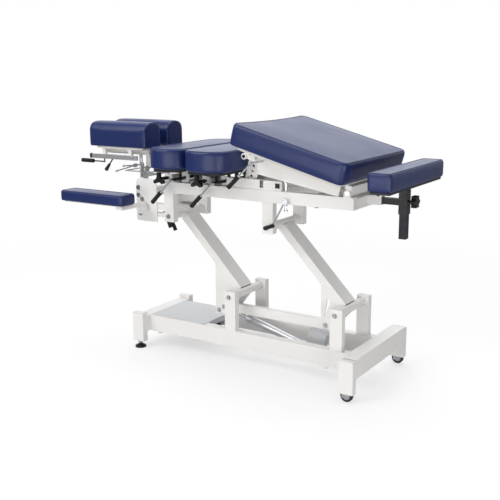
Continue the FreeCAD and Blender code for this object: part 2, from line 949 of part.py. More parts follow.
def actuator_housing():
    """Gearbox and motor at the rear of the actuator, with the eye of its rear pivot."""
    x = (-housing_end, -housing_start)
    gearbox = block(x, about(0, gearbox_depth), (-gearbox_low, gearbox_rise))
    motor = block(x, about(0, motor_depth), (gearbox_rise, motor_rise))
    across = V(0, 1, 0)
    gearbox = rounded(gearbox, plate_thickness, lambda edge: runs_along(edge, across))
    motor = rounded(motor, plate_thickness, lambda edge: runs_along(edge, across))
    y = about(0, rear_eye_width)
    eye = bar_y(0, 0, y, rear_eye_radius)
    neck = block((-housing_start - plate_thickness, 0), y, about(0, rear_eye_radius * 2))
    body = gearbox.fuse([motor, eye, neck]).removeSplitter()
    return on_actuator(drilled(body, 0, 0, y, rear_pin_radius + pin_clearance))


def actuator_rod():
    """Piston rod with the eye that takes the drive pin."""
    bar = along_actuator(tube_front - rod_inside, actuator_length, rod_radius)
    y = about(0, rod_eye_width)
    eye = bar_y(-actuator_length, 0, y, rod_eye_radius)
    return on_actuator(drilled(bar.fuse(eye), -actuator_length, 0, y, crank_pin_radius + drive_slack))


def actuator_mount():
    """Flat bar under both rails with the clevis and pin that hold the actuator."""
    x = span(mount_bar_x, mount_bar_width)
    z = (rail_bottom - mount_bar_height, rail_bottom)
    bar = block(x, (-rail_outer, rail_outer), z)
    half = rear_eye_width / 2 + running_gap
    shapes = []
    near = span(actuator_y - half - clevis_thickness, clevis_thickness)
    for y in (near, span(actuator_y + half, clevis_thickness)):
        shapes.append(block((rear_pivot_x, mount_bar_x + clevis_radius), y, (rear_pivot_z, z[0])))
        shapes.append(bar_y(rear_pivot_x, rear_pivot_z, y, clevis_radius))
    ends = grown(about(actuator_y, half * 2), clevis_thickness)
    pin = bar_y(rear_pivot_x, rear_pivot_z, ends, rear_pin_radius)
    return bar.fuse(shapes + [pin]).removeSplitter()


def head_lift_arm():
    pins = ((lower_pivot_x - tie_pin_back, tie_pin_z), (drive_pin_x, drive_pin_z))
    cranks = crank_plates(lower_pivot_x, head_crank_back, pins, False)
    return group([arm_tube(lower_pivot_x)] + arm_pivot_tubes(lower_pivot_x).Solids + cranks.Solids)


def foot_lift_arm():
    pins = ((foot_pivot_x - tie_pin_back, tie_pin_z),)
    cranks = crank_plates(foot_pivot_x, foot_crank_back, pins, True)
    return group([arm_tube(foot_pivot_x)] + arm_pivot_tubes(foot_pivot_x).Solids + cranks.Solids)


def head_crank_pins():
    """Tie bar pin and drive pin, with a washer on each side of the rod's eye."""
    tie = crank_pins(((lower_pivot_x - tie_pin_back, tie_pin_z),))
    drive = crank_pins(((drive_pin_x, drive_pin_z),)).Solids[0]
    half = rod_eye_width / 2 + running_gap
    for y in ((actuator_y - half - washer_thickness, actuator_y - half),
              (actuator_y + half, actuator_y + half + washer_thickness)):
        drive = drive.fuse(bar_y(drive_pin_x, drive_pin_z, y, rod_eye_radius - washer_thickness))
    return group(tie.Solids + [drive])


def foot_crank_pins():
    return crank_pins(((foot_pivot_x - tie_pin_back, tie_pin_z),))


def bent_beam(inset, past):
    """Beam and head ear as one bent bar, drawn in all round and run past its open ends."""
    x = about(upper_pivot_x + ear_offset, ear_width)
    across = grown((-beam_outer, -beam_inner), -inset)
    z = grown((beam_bottom, beam_top), -inset)
    along = block((x[0] + inset, beam_end + past), across, z)
    down = block(grown(x, -inset), across, (ear_bottom - past, z[1]))
    bar = along.fuse(down).removeSplitter()

    def outer_corner(edge):
        place = edge.CenterOfMass
        if not runs_along(edge, V(0, 1, 0)):
            return False
        return abs(place.x - x[0] - inset) < match and abs(place.z - z[1]) < match

    return rounded(bar, ear_corner - inset, outer_corner)


def upper_beam():
    """Near beam with its two ears, drilled for the pivot shafts."""
    beam = bent_beam(0, 0).cut(bent_beam(tube_wall, overrun))
    y = (-beam_outer, -beam_inner)
    ear_x = about(upper_pivot_x + pivot_spacing + ear_offset, ear_width)
    ear = box_tube(ear_x, y, (ear_bottom, beam_bottom), tube_wall, "z")
    beam = drilled(beam, upper_pivot_x, upper_pivot_z, y, pivot_shaft_radius)
    ear = drilled(ear, upper_pivot_x + pivot_spacing, upper_pivot_z, y, pivot_shaft_radius)
    low = V(adjuster_x, -beam_outer + beam_depth / 2, beam_bottom - overrun)
    beam = beam.cut(rod(low, low + V(0, 0, beam_height + overrun * 2), adjuster_radius))
    below = block((frame_start, beam_end), grown(y, overrun), (ear_bottom, beam_bottom))
    return beam.cut(below), beam.common(below), ear


def sleeve_outline():
    """Outer y and z of the sleeve that takes the foot section's tube."""
    return about(0, sleeve_size), span(sleeve_bottom, sleeve_size)


def foot_sleeve():
    y, z = sleeve_outline()
    return box_tube((sleeve_start, sleeve_end), y, z, sleeve_wall, "x")


def cross_tubes():
    """Cross members between the beams, opened for the sleeve where they meet it."""
    y, z = sleeve_outline()
    sleeve = block((sleeve_start, sleeve_end), y, z)
    shapes = []
    for place in cross_tube_places:
        x = about(place, cross_tube_width)
        height = (beam_bottom, beam_top - guide_bar_height)
        tube = box_tube(x, (-beam_inner, beam_inner), height, tube_wall, "y")
        shapes += tube.cut(sleeve).Solids
    return shapes


def deck_rail():
    """Near rail that the pelvic section rests on, notched for its lever shaft."""
    y = span(deck_rail_inset - beam_outer, deck_rail_depth)
    x = span(deck_rail_start, deck_rail_length)
    rail = box_tube(x, y, (beam_top, deck_rail_top), tube_wall, "x")
    notch_z = (deck_rail_top - shaft_notch_depth, deck_rail_top + overrun)
    return rail.cut(block(about(pelvic_lever_x, shaft_notch_width), grown(y, overrun), notch_z))


def hinge_lug():
    """Near lug on the beam that holds the pelvic hinge pin."""
    y = (-beam_outer, hinge_lug_thickness - beam_outer)
    x = about(pelvic_hinge_x, pelvic_tube_radius * 2)
    foot = block(x, y, (beam_top, pelvic_hinge_z))
    lug = foot.fuse(bar_y(pelvic_hinge_x, pelvic_hinge_z, y, pelvic_tube_radius)).removeSplitter()
    return drilled(lug, pelvic_hinge_x, pelvic_hinge_z, y, pelvic_pin_radius)


def strut_base_lugs():
    """Pair of lugs on a cross member with the lower pin of the gas strut."""
    half = strut_eye_width / 2 + running_gap
    back = cross_tube_places[-2] - cross_tube_width / 2
    shapes = []
    for y in (span(strut_y - half - strut_lug_thickness, strut_lug_thickness),
              span(strut_y + half, strut_lug_thickness)):
        shapes.append(block((strut_base_x, back), y, about(strut_base_z, strut_eye_radius * 2)))
        shapes.append(bar_y(strut_base_x, strut_base_z, y, strut_eye_radius))
    ends = grown(about(strut_y, half * 2), strut_lug_thickness)
    pin = bar_y(strut_base_x, strut_base_z, ends, strut_pin_radius)
    return pin.fuse(shapes).removeSplitter()


def upper_frame():
    beam, head_ear, ear = upper_beam()
    y = (-beam_outer, -beam_inner)
    shaft_hole = release_shaft_radius + pin_clearance
    near_beam = drilled(beam, release_pivot_x, release_pivot_z, y, shaft_hole)
    shapes = [near_beam, mirrored(beam), foot_sleeve(), strut_base_lugs()]
    shapes += cross_tubes()
    for piece in (head_ear, ear, deck_rail(), hinge_lug()):
        shapes += [piece, mirrored(piece)]
    return group(shapes)


def pelvic_hinge_pin():
    return bar_y(pelvic_hinge_x, pelvic_hinge_z, (-beam_outer, beam_outer), pelvic_pin_radius)


def upper_end_caps():
    """Plastic caps that close the open ends of the beams and ears."""
    y = (-beam_outer, -beam_inner)
    shapes = []
    for pivot in (upper_pivot_x, upper_pivot_x + pivot_spacing):
        cap_z = span(ear_bottom - cap_thickness, cap_thickness)
        shapes.append(block(about(pivot + ear_offset, ear_width), y, cap_z))
    shapes.append(block(span(beam_end, cap_thickness), y, (beam_bottom, beam_top)))
    for x in (deck_rail_start - cap_thickness, deck_rail_start + deck_rail_length):
        rail_y = span(deck_rail_inset - beam_outer, deck_rail_depth)
        shapes.append(block(span(x, cap_thickness), rail_y, (beam_top, deck_rail_top)))
    return group(shapes + [mirrored(shape) for shape in shapes])


def adjuster_bolt():
    """Stop screw through the near beam, with a head above and a nut below."""
    y = -beam_outer + beam_depth / 2
    head = deck_rail_top - bolt_head_height - washer_thickness
    stem = rod(V(adjuster_x, y, adjuster_bottom), V(adjuster_x, y, head), adjuster_radius)
    top = hex_bolt(V(adjuster_x, y, head), V(0, 0, 1))
    nut = hex_bolt(V(adjuster_x, y, beam_bottom), V(0, 0, -1))
    return stem.fuse([top, nut])


def upper_bolts():
    """Pivot shafts, hinge pin, stop screws and the bolts on the head plates."""
    shapes = [pelvic_hinge_pin()]
    for pivot in (upper_pivot_x, upper_pivot_x + pivot_spacing):
        shaft = bar_y(pivot, upper_pivot_z, (-beam_outer, beam_outer), pivot_shaft_radius)
        near = hex_bolt(V(pivot, -beam_outer, upper_pivot_z), V(0, -1, 0))
        shapes.append(shaft.fuse([near, mirrored(near)]))
    stop = adjuster_bolt()
    shapes += [stop, mirrored(stop)]
    for across, up in plate_bolt_shares:
        x = head_plate_start + across * head_plate_width
        z = head_plate_bottom + up * head_plate_height
        bolt = hex_bolt(V(x, -plate_outer, z), V(0, -1, 0))
        shapes += [bolt, mirrored(bolt)]
    return group(shapes)


def guide_places(x):
    """Two places along a drop section for its guide bars and pins."""
    return (x[0] + guide_bar_inset, x[1] - guide_bar_inset)


def guide_bar(x):
    """Bar between the beams with a hole for each guide pin."""
    bar = block(about(x, guide_bar_width), (-beam_inner, beam_inner), (beam_top - guide_bar_height, beam_top))
    for side in (-1, 1):
        low = V(x, side * guide_spread / 2, beam_top - guide_bar_height - overrun)
        hole = Part.makeCylinder(guide_pin_radius + pin_clearance, guide_bar_height + overrun * 2, low)
        bar = bar.cut(hole)
    return bar


def bearing(x, z, radius, crown):
    """Plate that stands on the near beam and carries a shaft."""
    y = (-beam_inner - bearing_thickness, -beam_inner)
    top = min(z + crown, deck_rail_top)
    foot = block(about(x, bearing_width), y, (beam_top, top))
    return drilled(foot, x, z, y, radius)


def tension_tube(x):
    """Spring tube behind a tension knob, held by its bearing."""
    y = span(-beam_inner, tension_tube_length)
    tube = bar_y(x, knob_shaft_z, y, tension_tube_radius)
    return drilled(tube, x, knob_shaft_z, y, knob_shaft_radius + pin_clearance)


def drop_mechanism():
    """Guide bars, lever bearings and tension tubes of the thoracic and lumbar sections."""
    shapes = []
    for x in guide_places(thoracic_x) + guide_places(lumbar_x):
        shapes.append(guide_bar(x))
    for x in (thoracic_lever_x, lumbar_lever_x):
        stand = bearing(x, lever_shaft_z, lever_shaft_radius + pin_clearance, bearing_crown)
        shapes += [stand, mirrored(stand)]
    for x in (thoracic_knob_x, lumbar_knob_x):
        shapes.append(bearing(x, knob_shaft_z, knob_shaft_radius + pin_clearance, bearing_crown))
        shapes.append(tension_tube(x))
    return group(shapes)


def followers(x, z):
    """Posts under a board that rest on the lever's crank rollers."""
    low = z + cam_radius + follower_gap
    across = (x - cam_throw - follower_reach, x - cam_throw + follower_lip)
    shapes = []
    for side in (-1, 1):
        y = about(side * cam_spread / 2, cam_width)
        shapes.append(block(across, y, (low, board_bottom)))
    return shapes


def board(x, span_across, pins, lever):
    """Board under a cushion with its guide pins and follower posts."""
    y = about(0, span_across - board_inset * 2)
    flat = block(grown(x, -board_inset), y, span(board_bottom, board_thickness))
    corner = cushion_corner / 2
    flat = rounded(flat, corner, lambda edge: runs_along(edge, V(0, 0, 1)))
    shapes = followers(*lever)
    for place in pins:
        for side in (-1, 1):
            low = V(place, side * guide_spread / 2, board_bottom - guide_pin_length)
            shapes.append(Part.makeCylinder(guide_pin_radius, guide_pin_length, low))
    return group([flat] + shapes)


def lever(x, z, ends, angle):
    """Cocking lever: shaft, two crank rollers, hub and rod."""
    near, far = ends
    shapes = []
    for side in (-1, 1):
        y = about(side * cam_spread / 2, cam_width)
        shapes.append(block((x - cam_throw, x), y, about(z, cam_arm_thickness)))
        shapes.append(bar_y(x - cam_throw, z, y, cam_radius))
        shapes.append(bar_y(x, z, y, lever_hub_radius))
    shapes.append(bar_y(x, z, span(-near, lever_hub_width), lever_hub_radius))
    y = lever_hub_width / 2 - near
    tip_x, tip_z = polar(x, z, lever_rod_length, angle)
    shapes.append(rod(V(x, y, z), V(tip_x, y, tip_z), lever_rod_radius))
    return bar_y(x, z, (-near, far), lever_shaft_radius).fuse(shapes).removeSplitter()


def round_ends(bar, radius):
    """A round bar with its circular edges rounded."""
    edges = [edge for edge in bar.Edges if isinstance(edge.Curve, Part.Circle)]
    return bar.makeFillet(radius, edges)


def lever_grip(x, z, near, angle):
    y = lever_hub_width / 2 - near
    start = polar(x, z, lever_rod_length, angle)
    end = polar(x, z, lever_rod_length + lever_grip_length, angle)
    grip = rod(V(start[0], y, start[1]), V(end[0], y, end[1]), lever_grip_radius)
    return round_ends(grip, lever_grip_radius / 3)


def tension_knob(x):
    """Three-lobed knob on its shaft."""
    y = span(-knob_near_y - knob_thickness, knob_thickness)
    shapes = [bar_y(x, knob_shaft_z, y, knob_hub_radius)]
    for turn in (90, 210, 330):
        lobe = bar_y(x - knob_lobe_reach, knob_shaft_z, y, knob_lobe_radius)
        web = block((x - knob_lobe_reach, x), y, about(knob_shaft_z, knob_lobe_radius * 2))
        shapes.append(swung(lobe.fuse(web), x, knob_shaft_z, turn))
    boss_y = (-knob_near_y, -beam_inner - bearing_thickness - plate_thickness * 2)
    shapes.append(bar_y(x, knob_shaft_z, boss_y, lever_hub_radius))
    shaft = bar_y(x, knob_shaft_z, (-knob_near_y, plate_thickness - beam_inner), knob_shaft_radius)
    return shaft.fuse(shapes).removeSplitter()


def tilted(shape):
    """A piece of the pelvic section, drawn level, turned to its raised position."""
    return swung(shape, pelvic_hinge_x, pelvic_hinge_z, pelvic_tilt)


def pelvic_side_plate():
    """Near side plate of the pelvic frame, deep at its head end and narrow at its foot end."""
    end = pelvic_hinge_x - side_plate_back
    outline = [
        (side_plate_start, pelvic_frame_top), (end, pelvic_frame_top), (end, side_plate_tail),
        (side_plate_start + side_plate_heel, side_plate_low), (side_plate_start, end_bracket_low),
    ]
    y = (-pelvic_plate[1], -pelvic_plate[0])
    sheet = plate(outline, y)
    return drilled(sheet, pelvic_lever_x, pelvic_lever_z, y, lever_shaft_radius + pin_clearance)


def end_bracket():
    """Near bracket that carries the side plate's head end."""
    x = (end_bracket_start, side_plate_start)
    return block(x, (-pelvic_plate[1], -pelvic_plate[0]), (end_bracket_low, pelvic_frame_top))


def pelvic_cross_bars():
    """Flat bars between the side plates, drilled for the guide pins; the last carries the hinge tube."""
    inner = pelvic_plate[0]
    low = pelvic_frame_top - pelvic_bar_thickness
    runs = [span(start, width) for start, width in zip(pelvic_bar_starts, pelvic_bar_widths)]
    runs.append((pelvic_hinge_x - tail_bar_back, pelvic_hinge_x + pelvic_tube_radius))
    shapes = []
    for run, pin in zip(runs, pelvic_pin_places):
        bar = block(run, (-inner, inner), (low, pelvic_frame_top))
        for side in (-1, 1):
            place = V(pin, side * guide_spread / 2, low - overrun)
            depth = pelvic_bar_thickness + overrun * 2
            bar = bar.cut(Part.makeCylinder(guide_pin_radius + pin_clearance, depth, place))
        shapes.append(bar)
    x = about(pelvic_hinge_x, pelvic_tube_radius * 2)
    half = beam_outer - hinge_lug_thickness - running_gap
    tube = bar_y(pelvic_hinge_x, pelvic_hinge_z, (-half, half), pelvic_tube_radius)
    over = block(x, (-inner, inner), (pelvic_hinge_z + pelvic_tube_radius + running_gap, pelvic_frame_top))
    web = block(x, (-half, half), (pelvic_hinge_z, pelvic_frame_top))
    hinge = tube.fuse([over, web, shapes.pop()])
    hinge = drilled(hinge, pelvic_hinge_x, pelvic_hinge_z, (-half, half), pelvic_pin_radius + pin_clearance)
    return shapes + [hinge.removeSplitter()]


def lock_plate():
    """Near perforated plate below the head end of the pelvic frame."""
    x = span(lock_plate_start, lock_plate_width)
    z = (lock_plate_low, pelvic_frame_top - pelvic_bar_thickness)
    y = about(-lock_plate_y, plate_thickness)
    sheet = rounded(block(x, y, z), lock_hole_radius * 2, lambda edge: runs_along(edge, V(0, 1, 0)))
    pitch = (z[1] - z[0]) / (lock_holes + 1)
    for row in range(lock_holes):
        sheet = drilled(sheet, (x[0] + x[1]) / 2, z[0] + pitch * (row + 1), y, lock_hole_radius)
    return sheet


def strut_top():
    """Upper pin of the gas strut, in the level position."""
    return strut_top_x, pelvic_hinge_z + strut_top_rise


def strut_top_lugs():
    x, z = strut_top()
    half = strut_eye_width / 2 + running_gap
    low = pelvic_frame_top - pelvic_bar_thickness
    shapes = []
    for y in (span(strut_y - half - strut_lug_thickness, strut_lug_thickness),
              span(strut_y + half, strut_lug_thickness)):
        shapes.append(block(about(x, strut_eye_radius * 2), y, (z, low)))
        shapes.append(bar_y(x, z, y, strut_eye_radius))
    ends = grown(about(strut_y, half * 2), strut_lug_thickness)
    return bar_y(x, z, ends, strut_pin_radius).fuse(shapes).removeSplitter()


def pelvic_frame():
    shapes = pelvic_cross_bars() + [strut_top_lugs()]
    for piece in (pelvic_side_plate(), end_bracket(), lock_plate()):
        shapes += [piece, mirrored(piece)]
    return tilted(group(shapes))


def strut_ends():
    """Lower and upper pins of the gas strut as it stands."""
    x, z = strut_top()
    turn = math.radians(pelvic_tilt)
    back, rise = x - pelvic_hinge_x, z - pelvic_hinge_z
    top_x = pelvic_hinge_x + back * math.cos(turn) + rise * math.sin(turn)
    top_z = pelvic_hinge_z - back * math.sin(turn) + rise * math.cos(turn)
    return V(strut_base_x, strut_y, strut_base_z), V(top_x, strut_y, top_z)


def strut_cylinder():
    base, top = strut_ends()
    y = about(strut_y, strut_eye_width)
    front = base + (top - base) * strut_body_share
    unit = (top - base).normalize()
    body = rod(base + unit * strut_eye_radius, front, strut_body_radius)
    bore = rod(base + unit * strut_eye_radius * 2, front + unit * overrun, strut_rod_radius + pin_clearance)
    neck = rod(base, base + unit * strut_eye_radius * 2, strut_rod_radius)
    eye = bar_y(base.x, base.z, y, strut_eye_radius)
    shape = body.fuse([neck, eye]).cut(bore)
    return drilled(shape, base.x, base.z, y, strut_pin_radius + pin_clearance)


def strut_rod():
    base, top = strut_ends()
    y = about(strut_y, strut_eye_width)
    unit = (top - base).normalize()
    bar = rod(top - unit * strut_rod_length, top, strut_rod_radius)
    eye = bar_y(top.x, top.z, y, strut_eye_radius)
    return drilled(bar.fuse(eye), top.x, top.z, y, strut_pin_radius + strut_slack)


def release_lever():
    """Release lever on the near beam with its sideways grip."""
    x, z = release_pivot_x, release_pivot_z
    hub_y = span(-release_near_y, release_hub_width)
    y = -release_near_y + release_hub_width / 2
    end = V(x - release_rod_back, y, z - release_rod_drop)
    grip_end = end - V(0, release_grip_length, 0)
    grip = rod(end + V(0, release_rod_radius, 0), grip_end, release_grip_radius)
    shapes = [
        bar_y(x, z, hub_y, release_hub_radius),
        rod(V(x, y, z), end, release_rod_radius),
        round_ends(grip, release_grip_radius / 3),
    ]
    shaft = bar_y(x, z, (-release_near_y, -release_shaft_inner), release_shaft_radius)
    return shaft.fuse(shapes).removeSplitter()


def foot_slide_tube():
    """Sliding tube of the foot section with the collar for its post."""
    collar_half = collar_size / 2
    middle_z = sleeve_bottom + sleeve_size / 2
    y = about(0, slide_tube_size)
    tube = box_tube((slide_tube_start, collar_x - collar_half), y, about(middle_z, slide_tube_size),
                    slide_tube_wall, "x")
    x = about(collar_x, collar_size)
    collar = box_tube(x, about(0, collar_size), (collar_bottom, collar_top), collar_wall, "z")
    hole = rod(V(collar_x, 0, clamp_z), V(x[1] + overrun, 0, clamp_z), clamp_stud_radius + pin_clearance)
    return tube.fuse(collar.cut(hole)).removeSplitter()


def foot_post():
    """Square post of the foot section with the plate under its cushion."""
    x = about(collar_x, post_size)
    post = box_tube(x, about(0, post_size), (post_bottom, foot_plate_bottom), tube_wall, "z")
    x = grown(span(foot_cushion_start, foot_cushion_width), -foot_plate_inset)
    y = grown(about(0, foot_cushion_span), -foot_plate_inset)
    sheet = block(x, y, span(foot_plate_bottom, foot_plate_thickness))
    return post.fuse(sheet).removeSplitter()


def foot_clamp_knob():
    """Star knob and stud that clamp the post in the collar."""
    start = collar_x + post_size / 2 + running_gap
    face = collar_x + collar_size / 2 + clamp_stud_showing
    stud = rod(V(start, 0, clamp_z), V(face, 0, clamp_z), clamp_stud_radius)
    across = V(star_thickness, 0, 0)
    reach = star_radius - star_lobe_radius
    middle = V(face, 0, clamp_z)
    shapes = [rod(middle, middle + across, reach)]
    for index in range(star_lobes):
        turn = math.radians(360 / star_lobes * index)
        place = middle + V(0, math.cos(turn), math.sin(turn)) * reach
        shapes.append(rod(place, place + across, star_lobe_radius))
    return stud.fuse(shapes).removeSplitter()


def head_side_plate():
    x = span(head_plate_start, head_plate_width)
    z = span(head_plate_bottom, head_plate_height)
    sheet = block(x, (-plate_outer, -beam_outer), z)

    def top_head_corner(edge):
        place = edge.CenterOfMass
        return runs_along(edge, V(0, 1, 0)) and abs(place.x - x[0]) < match and abs(place.z - z[1]) < match

    return rounded(sheet, head_plate_corner, top_head_corner)


def head_carrier():
    """Side plates, link bars and head beam that carry the head section and arm rest."""
    y = (-beam_outer, -beam_inner)
    side = [head_side_plate()]
    for bottom, height in ((upper_link_bottom, upper_link_height), (lower_link_bottom, lower_link_height)):
        side.append(box_tube((link_start, frame_start), y, span(bottom, height), tube_wall, "x"))
    beam_x = span(head_beam_x, head_beam_width)
    beam_z = span(head_beam_bottom, head_beam_height)
    beam = box_tube(beam_x, (-beam_outer, beam_outer), beam_z, tube_wall, "y")
    sleeve_x = span(head_beam_x - riser_sleeve_size, riser_sleeve_size)
    side.append(box_tube(sleeve_x, about(-riser_y, riser_sleeve_size),
                         span(riser_sleeve_bottom, riser_sleeve_height), riser_sleeve_wall, "z"))
    bar = bar_y(release_bar_x, release_bar_z, (-beam_inner, beam_inner), release_bar_radius)
    ends = (-plate_outer - arm_hub_gap - arm_hub_width - running_gap, -plate_outer)
    pin = bar_y(arm_pivot_x, arm_pivot_z, ends, arm_pin_radius)
    return group(side + [mirrored(shape) for shape in side] + [beam, bar, pin])


def head_riser():
    """Two sliding bars with a head that carries the tilt pin and the lock lever's pin."""
    size = riser_sleeve_size - riser_sleeve_wall * 2 - running_gap * 2
    x = about(riser_x, size)
    head_z = span(riser_head_bottom, riser_head_height)
    shapes = []
    for side in (-1, 1):
        shapes.append(block(x, about(side * riser_y, size), (riser_bottom, riser_head_bottom)))
        lug_y = about(side * riser_lug_y, riser_lug_thickness)
        shapes.append(block(about(riser_x, tilt_lug_radius * 2), lug_y, (head_z[1], tilt_pivot_z)))
        shapes.append(bar_y(riser_x, tilt_pivot_z, lug_y, tilt_lug_radius))
        ear_y = about(side * (riser_head_half - riser_ear_thickness / 2), riser_ear_thickness)
        shapes.append(block(x, ear_y, (head_z[1], lock_pivot_z)))
        shapes.append(bar_y(riser_x, lock_pivot_z, ear_y, size / 2))
    half = riser_lug_y + riser_lug_thickness / 2
    shapes.append(bar_y(riser_x, tilt_pivot_z, (-half, half), tilt_pin_radius))
    shapes.append(bar_y(riser_x, lock_pivot_z, (-lock_near_y, -riser_head_half), small_lever_radius))
    head = block(x, (-riser_head_half, riser_head_half), head_z)
    return head.fuse(shapes).removeSplitter()


def head_rail_rod():
    """Bright bent rod that lies on the riser's head and runs along both sides."""
    z = riser_head_bottom + riser_head_height + rail_rod_radius
    y = riser_head_half - riser_ear_thickness - rail_rod_radius - running_gap
    shapes = []
    for side in (-1, 1):
        shapes.append(rod(V(rail_rod_start, side * y, z), V(rail_rod_end, side * y, z), rail_rod_radius))
        shapes.append(Part.makeSphere(rail_rod_radius, V(rail_rod_start, side * y, z)))
    bow = bar_y(rail_rod_start, z, (-y, y), rail_rod_radius)
    return bow.fuse(shapes).removeSplitter()


def bracket_plate():
    """Near L-shaped plate that tilts on the pin and runs under the cushions."""
    y = about(-bracket_y, bracket_thickness)
    x = (riser_x - bracket_leg / 2, riser_x + bracket_leg / 2)
    strip = block((bracket_start, x[1]), y, span(bracket_strip_bottom, bracket_strip_height))
    leg_plate = block(x, y, (tilt_pivot_z, bracket_strip_bottom + bracket_strip_height))
    bar = strip.fuse(leg_plate).removeSplitter()
    top = bracket_strip_bottom + bracket_strip_height

    def top_corner(edge):
        place = edge.CenterOfMass
        return runs_along(edge, V(0, 1, 0)) and abs(place.x - x[1]) < match and abs(place.z - top) < match

    bar = rounded(bar, bracket_leg - match, top_corner)
    bar = bar.fuse(bar_y(riser_x, tilt_pivot_z, y, bracket_leg / 2)).removeSplitter()
    return drilled(bar, riser_x, tilt_pivot_z, y, tilt_pin_radius + pin_clearance)


def slot_link():
    """Near slotted link below the bracket."""
    y = span(-bracket_y - bracket_thickness / 2 - bracket_thickness, bracket_thickness)
    x = span(slot_link_x, slot_link_width)
    link = rounded(block(x, y, (slot_link_bottom, slot_link_top)), slot_link_width / 2 - match,
                   lambda edge: runs_along(edge, V(0, 1, 0)))
    slot_z = (slot_link_bottom + slot_link_width, bracket_strip_bottom - slot_link_width)
    return link.cut(block(about(slot_link_x + slot_link_width / 2, slot_width), grown(y, overrun), slot_z))


def head_bracket():
    """Tilting frame under the head cushions."""
    strip_top = bracket_strip_bottom + bracket_strip_height
    shapes = [bracket_plate(), mirrored(bracket_plate()), slot_link(), mirrored(slot_link())]
    for start in cushion_bar_places:
        x = span(start, cushion_bar_width)
        bar = block(x, (-cushion_bar_half, cushion_bar_half), span(strip_top, cushion_bar_thickness))
        hanger = block(x, about(-pull_bar_y, pull_bar_depth), (bracket_strip_bottom, strip_top))
        shapes.append(bar.fuse([hanger, mirrored(hanger)]).removeSplitter())
    return group(shapes)


def head_cushion():
    """Near head cushion."""
    near = -head_cushion_inner - head_cushion_width
    x = span(head_cushion_start, head_cushion_length)
    return arched_cushion(x, span(near, head_cushion_width), span(head_cushion_bottom, head_cushion_height))


def head_board():
    """Board under the near head cushion."""
    x = grown(span(head_cushion_start, head_cushion_length), -head_end_roll - head_board_inset)
    y = grown(span(-head_cushion_inner - head_cushion_width, head_cushion_width), -head_board_inset)
    flat = block(x, y, (head_cushion_bottom - head_board_thickness, head_cushion_bottom))
    return rounded(flat, head_board_inset, lambda edge: runs_along(edge, V(0, 0, 1)))


def pull_bars():
    """Bars along both sides of the tilting frame."""
    bar = block(span(pull_bar_start, pull_bar_length), about(-pull_bar_y, pull_bar_depth),
                (pull_bar_bottom, bracket_strip_bottom))
    return both_sides(bar)


def pull_grips():
    """Caps of the pull bars, the long grip and the cone grip with their rods."""
    cap = block((pull_bar_start - pull_cap_length, pull_bar_start), about(-pull_bar_y, pull_bar_depth),
                (pull_bar_bottom, bracket_strip_bottom))
    y = -pull_bar_y
    end = pull_grip_end + pull_grip_length
    grip = round_ends(rod(V(pull_grip_end, y, pull_grip_z), V(end, y, pull_grip_z), pull_grip_radius),
                      pull_grip_radius / 3)
    reach = pull_bar_start + pull_grip_length
    stem = rod(V(end, y, pull_grip_z), V(reach, y, pull_grip_z), small_lever_radius)
    low = V(reach, y, pull_bar_bottom)
    foot = rod(V(reach, y, pull_grip_z - small_lever_radius), low, small_lever_radius)
    root = V(cone_grip_x, -pull_bar_y, pull_bar_bottom)
    start = V(cone_grip_x, -cone_grip_start_y, cone_grip_start_z)
    unit = (start - root).normalize()
    arm = rod(root, start, small_lever_radius)
    cone = Part.makeCone(small_lever_radius * 2, cone_grip_radius, cone_grip_length, start, unit)
    arm = arm.fuse(cone).cut(block((pull_bar_start, 0), about(-pull_bar_y, pull_bar_depth),
                                   (pull_bar_bottom, bracket_strip_bottom)))
    return group([cap, mirrored(cap), grip.fuse([stem, foot]).removeSplitter(), arm])


def head_lock_lever():
    """Pair of ball-ended rods on one hub beside the riser."""
    hub_y = span(-lock_near_y, lock_hub_width)
    y = -lock_near_y + lock_hub_width / 2
    shapes = []
    for x, z in lock_ball_places:
        start, end = V(riser_x, y, lock_pivot_z), V(x, y, z)
        shapes.append(rod(start, end, small_lever_radius))
        shapes.append(Part.makeSphere(ball_radius, end, (end - start).normalize()))
    hub = bar_y(riser_x, lock_pivot_z, hub_y, lock_hub_radius).fuse(shapes)
    return drilled(hub, riser_x, lock_pivot_z, hub_y, small_lever_radius + pin_clearance).removeSplitter()


def height_levers():
    """Two tapered handles that hang from the release bar."""
    shapes = []
    turn = math.radians(height_lever_angle)
    unit = V(math.cos(turn), 0, math.sin(turn))
    near = [-place for place in height_lever_places]
    spread = (min(near) - height_lever_hub_width / 2, max(near) + height_lever_hub_width / 2)
    for y, length in zip(near, height_lever_lengths):
        base = V(release_bar_x, y, release_bar_z)
        shapes.append(Part.makeCone(height_lever_root, height_lever_end, length, base, unit))
    hub = bar_y(release_bar_x, release_bar_z, spread, height_lever_hub_radius).fuse(shapes)
    bore = release_bar_radius + pin_clearance
    return drilled(hub, release_bar_x, release_bar_z, spread, bore).removeSplitter()


def arm_rest_frame():
    """Swinging bracket and plate under the arm rest's cushion."""
    hub_y = span(-plate_outer - arm_hub_gap - arm_hub_width, arm_hub_width)
    far_y = -arm_cushion_near + arm_plate_inset
    top = arm_cushion_bottom - arm_plate_thickness
    bar = block(about(arm_pivot_x, arm_bar_width), (far_y, hub_y[1]), (top - arm_bar_thickness, top))
    x = grown(span(arm_cushion_start, arm_cushion_length), -arm_plate_inset)
    y = grown(span(-arm_cushion_near, arm_cushion_width), -arm_plate_inset)
    sheet = block(x, y, span(top, arm_plate_thickness))
    hub = bar_y(arm_pivot_x, arm_pivot_z, hub_y, arm_hub_radius)
    frame = bar.fuse([sheet, hub]).removeSplitter()
    return drilled(frame, arm_pivot_x, arm_pivot_z, hub_y, arm_pin_radius + pin_clearance)


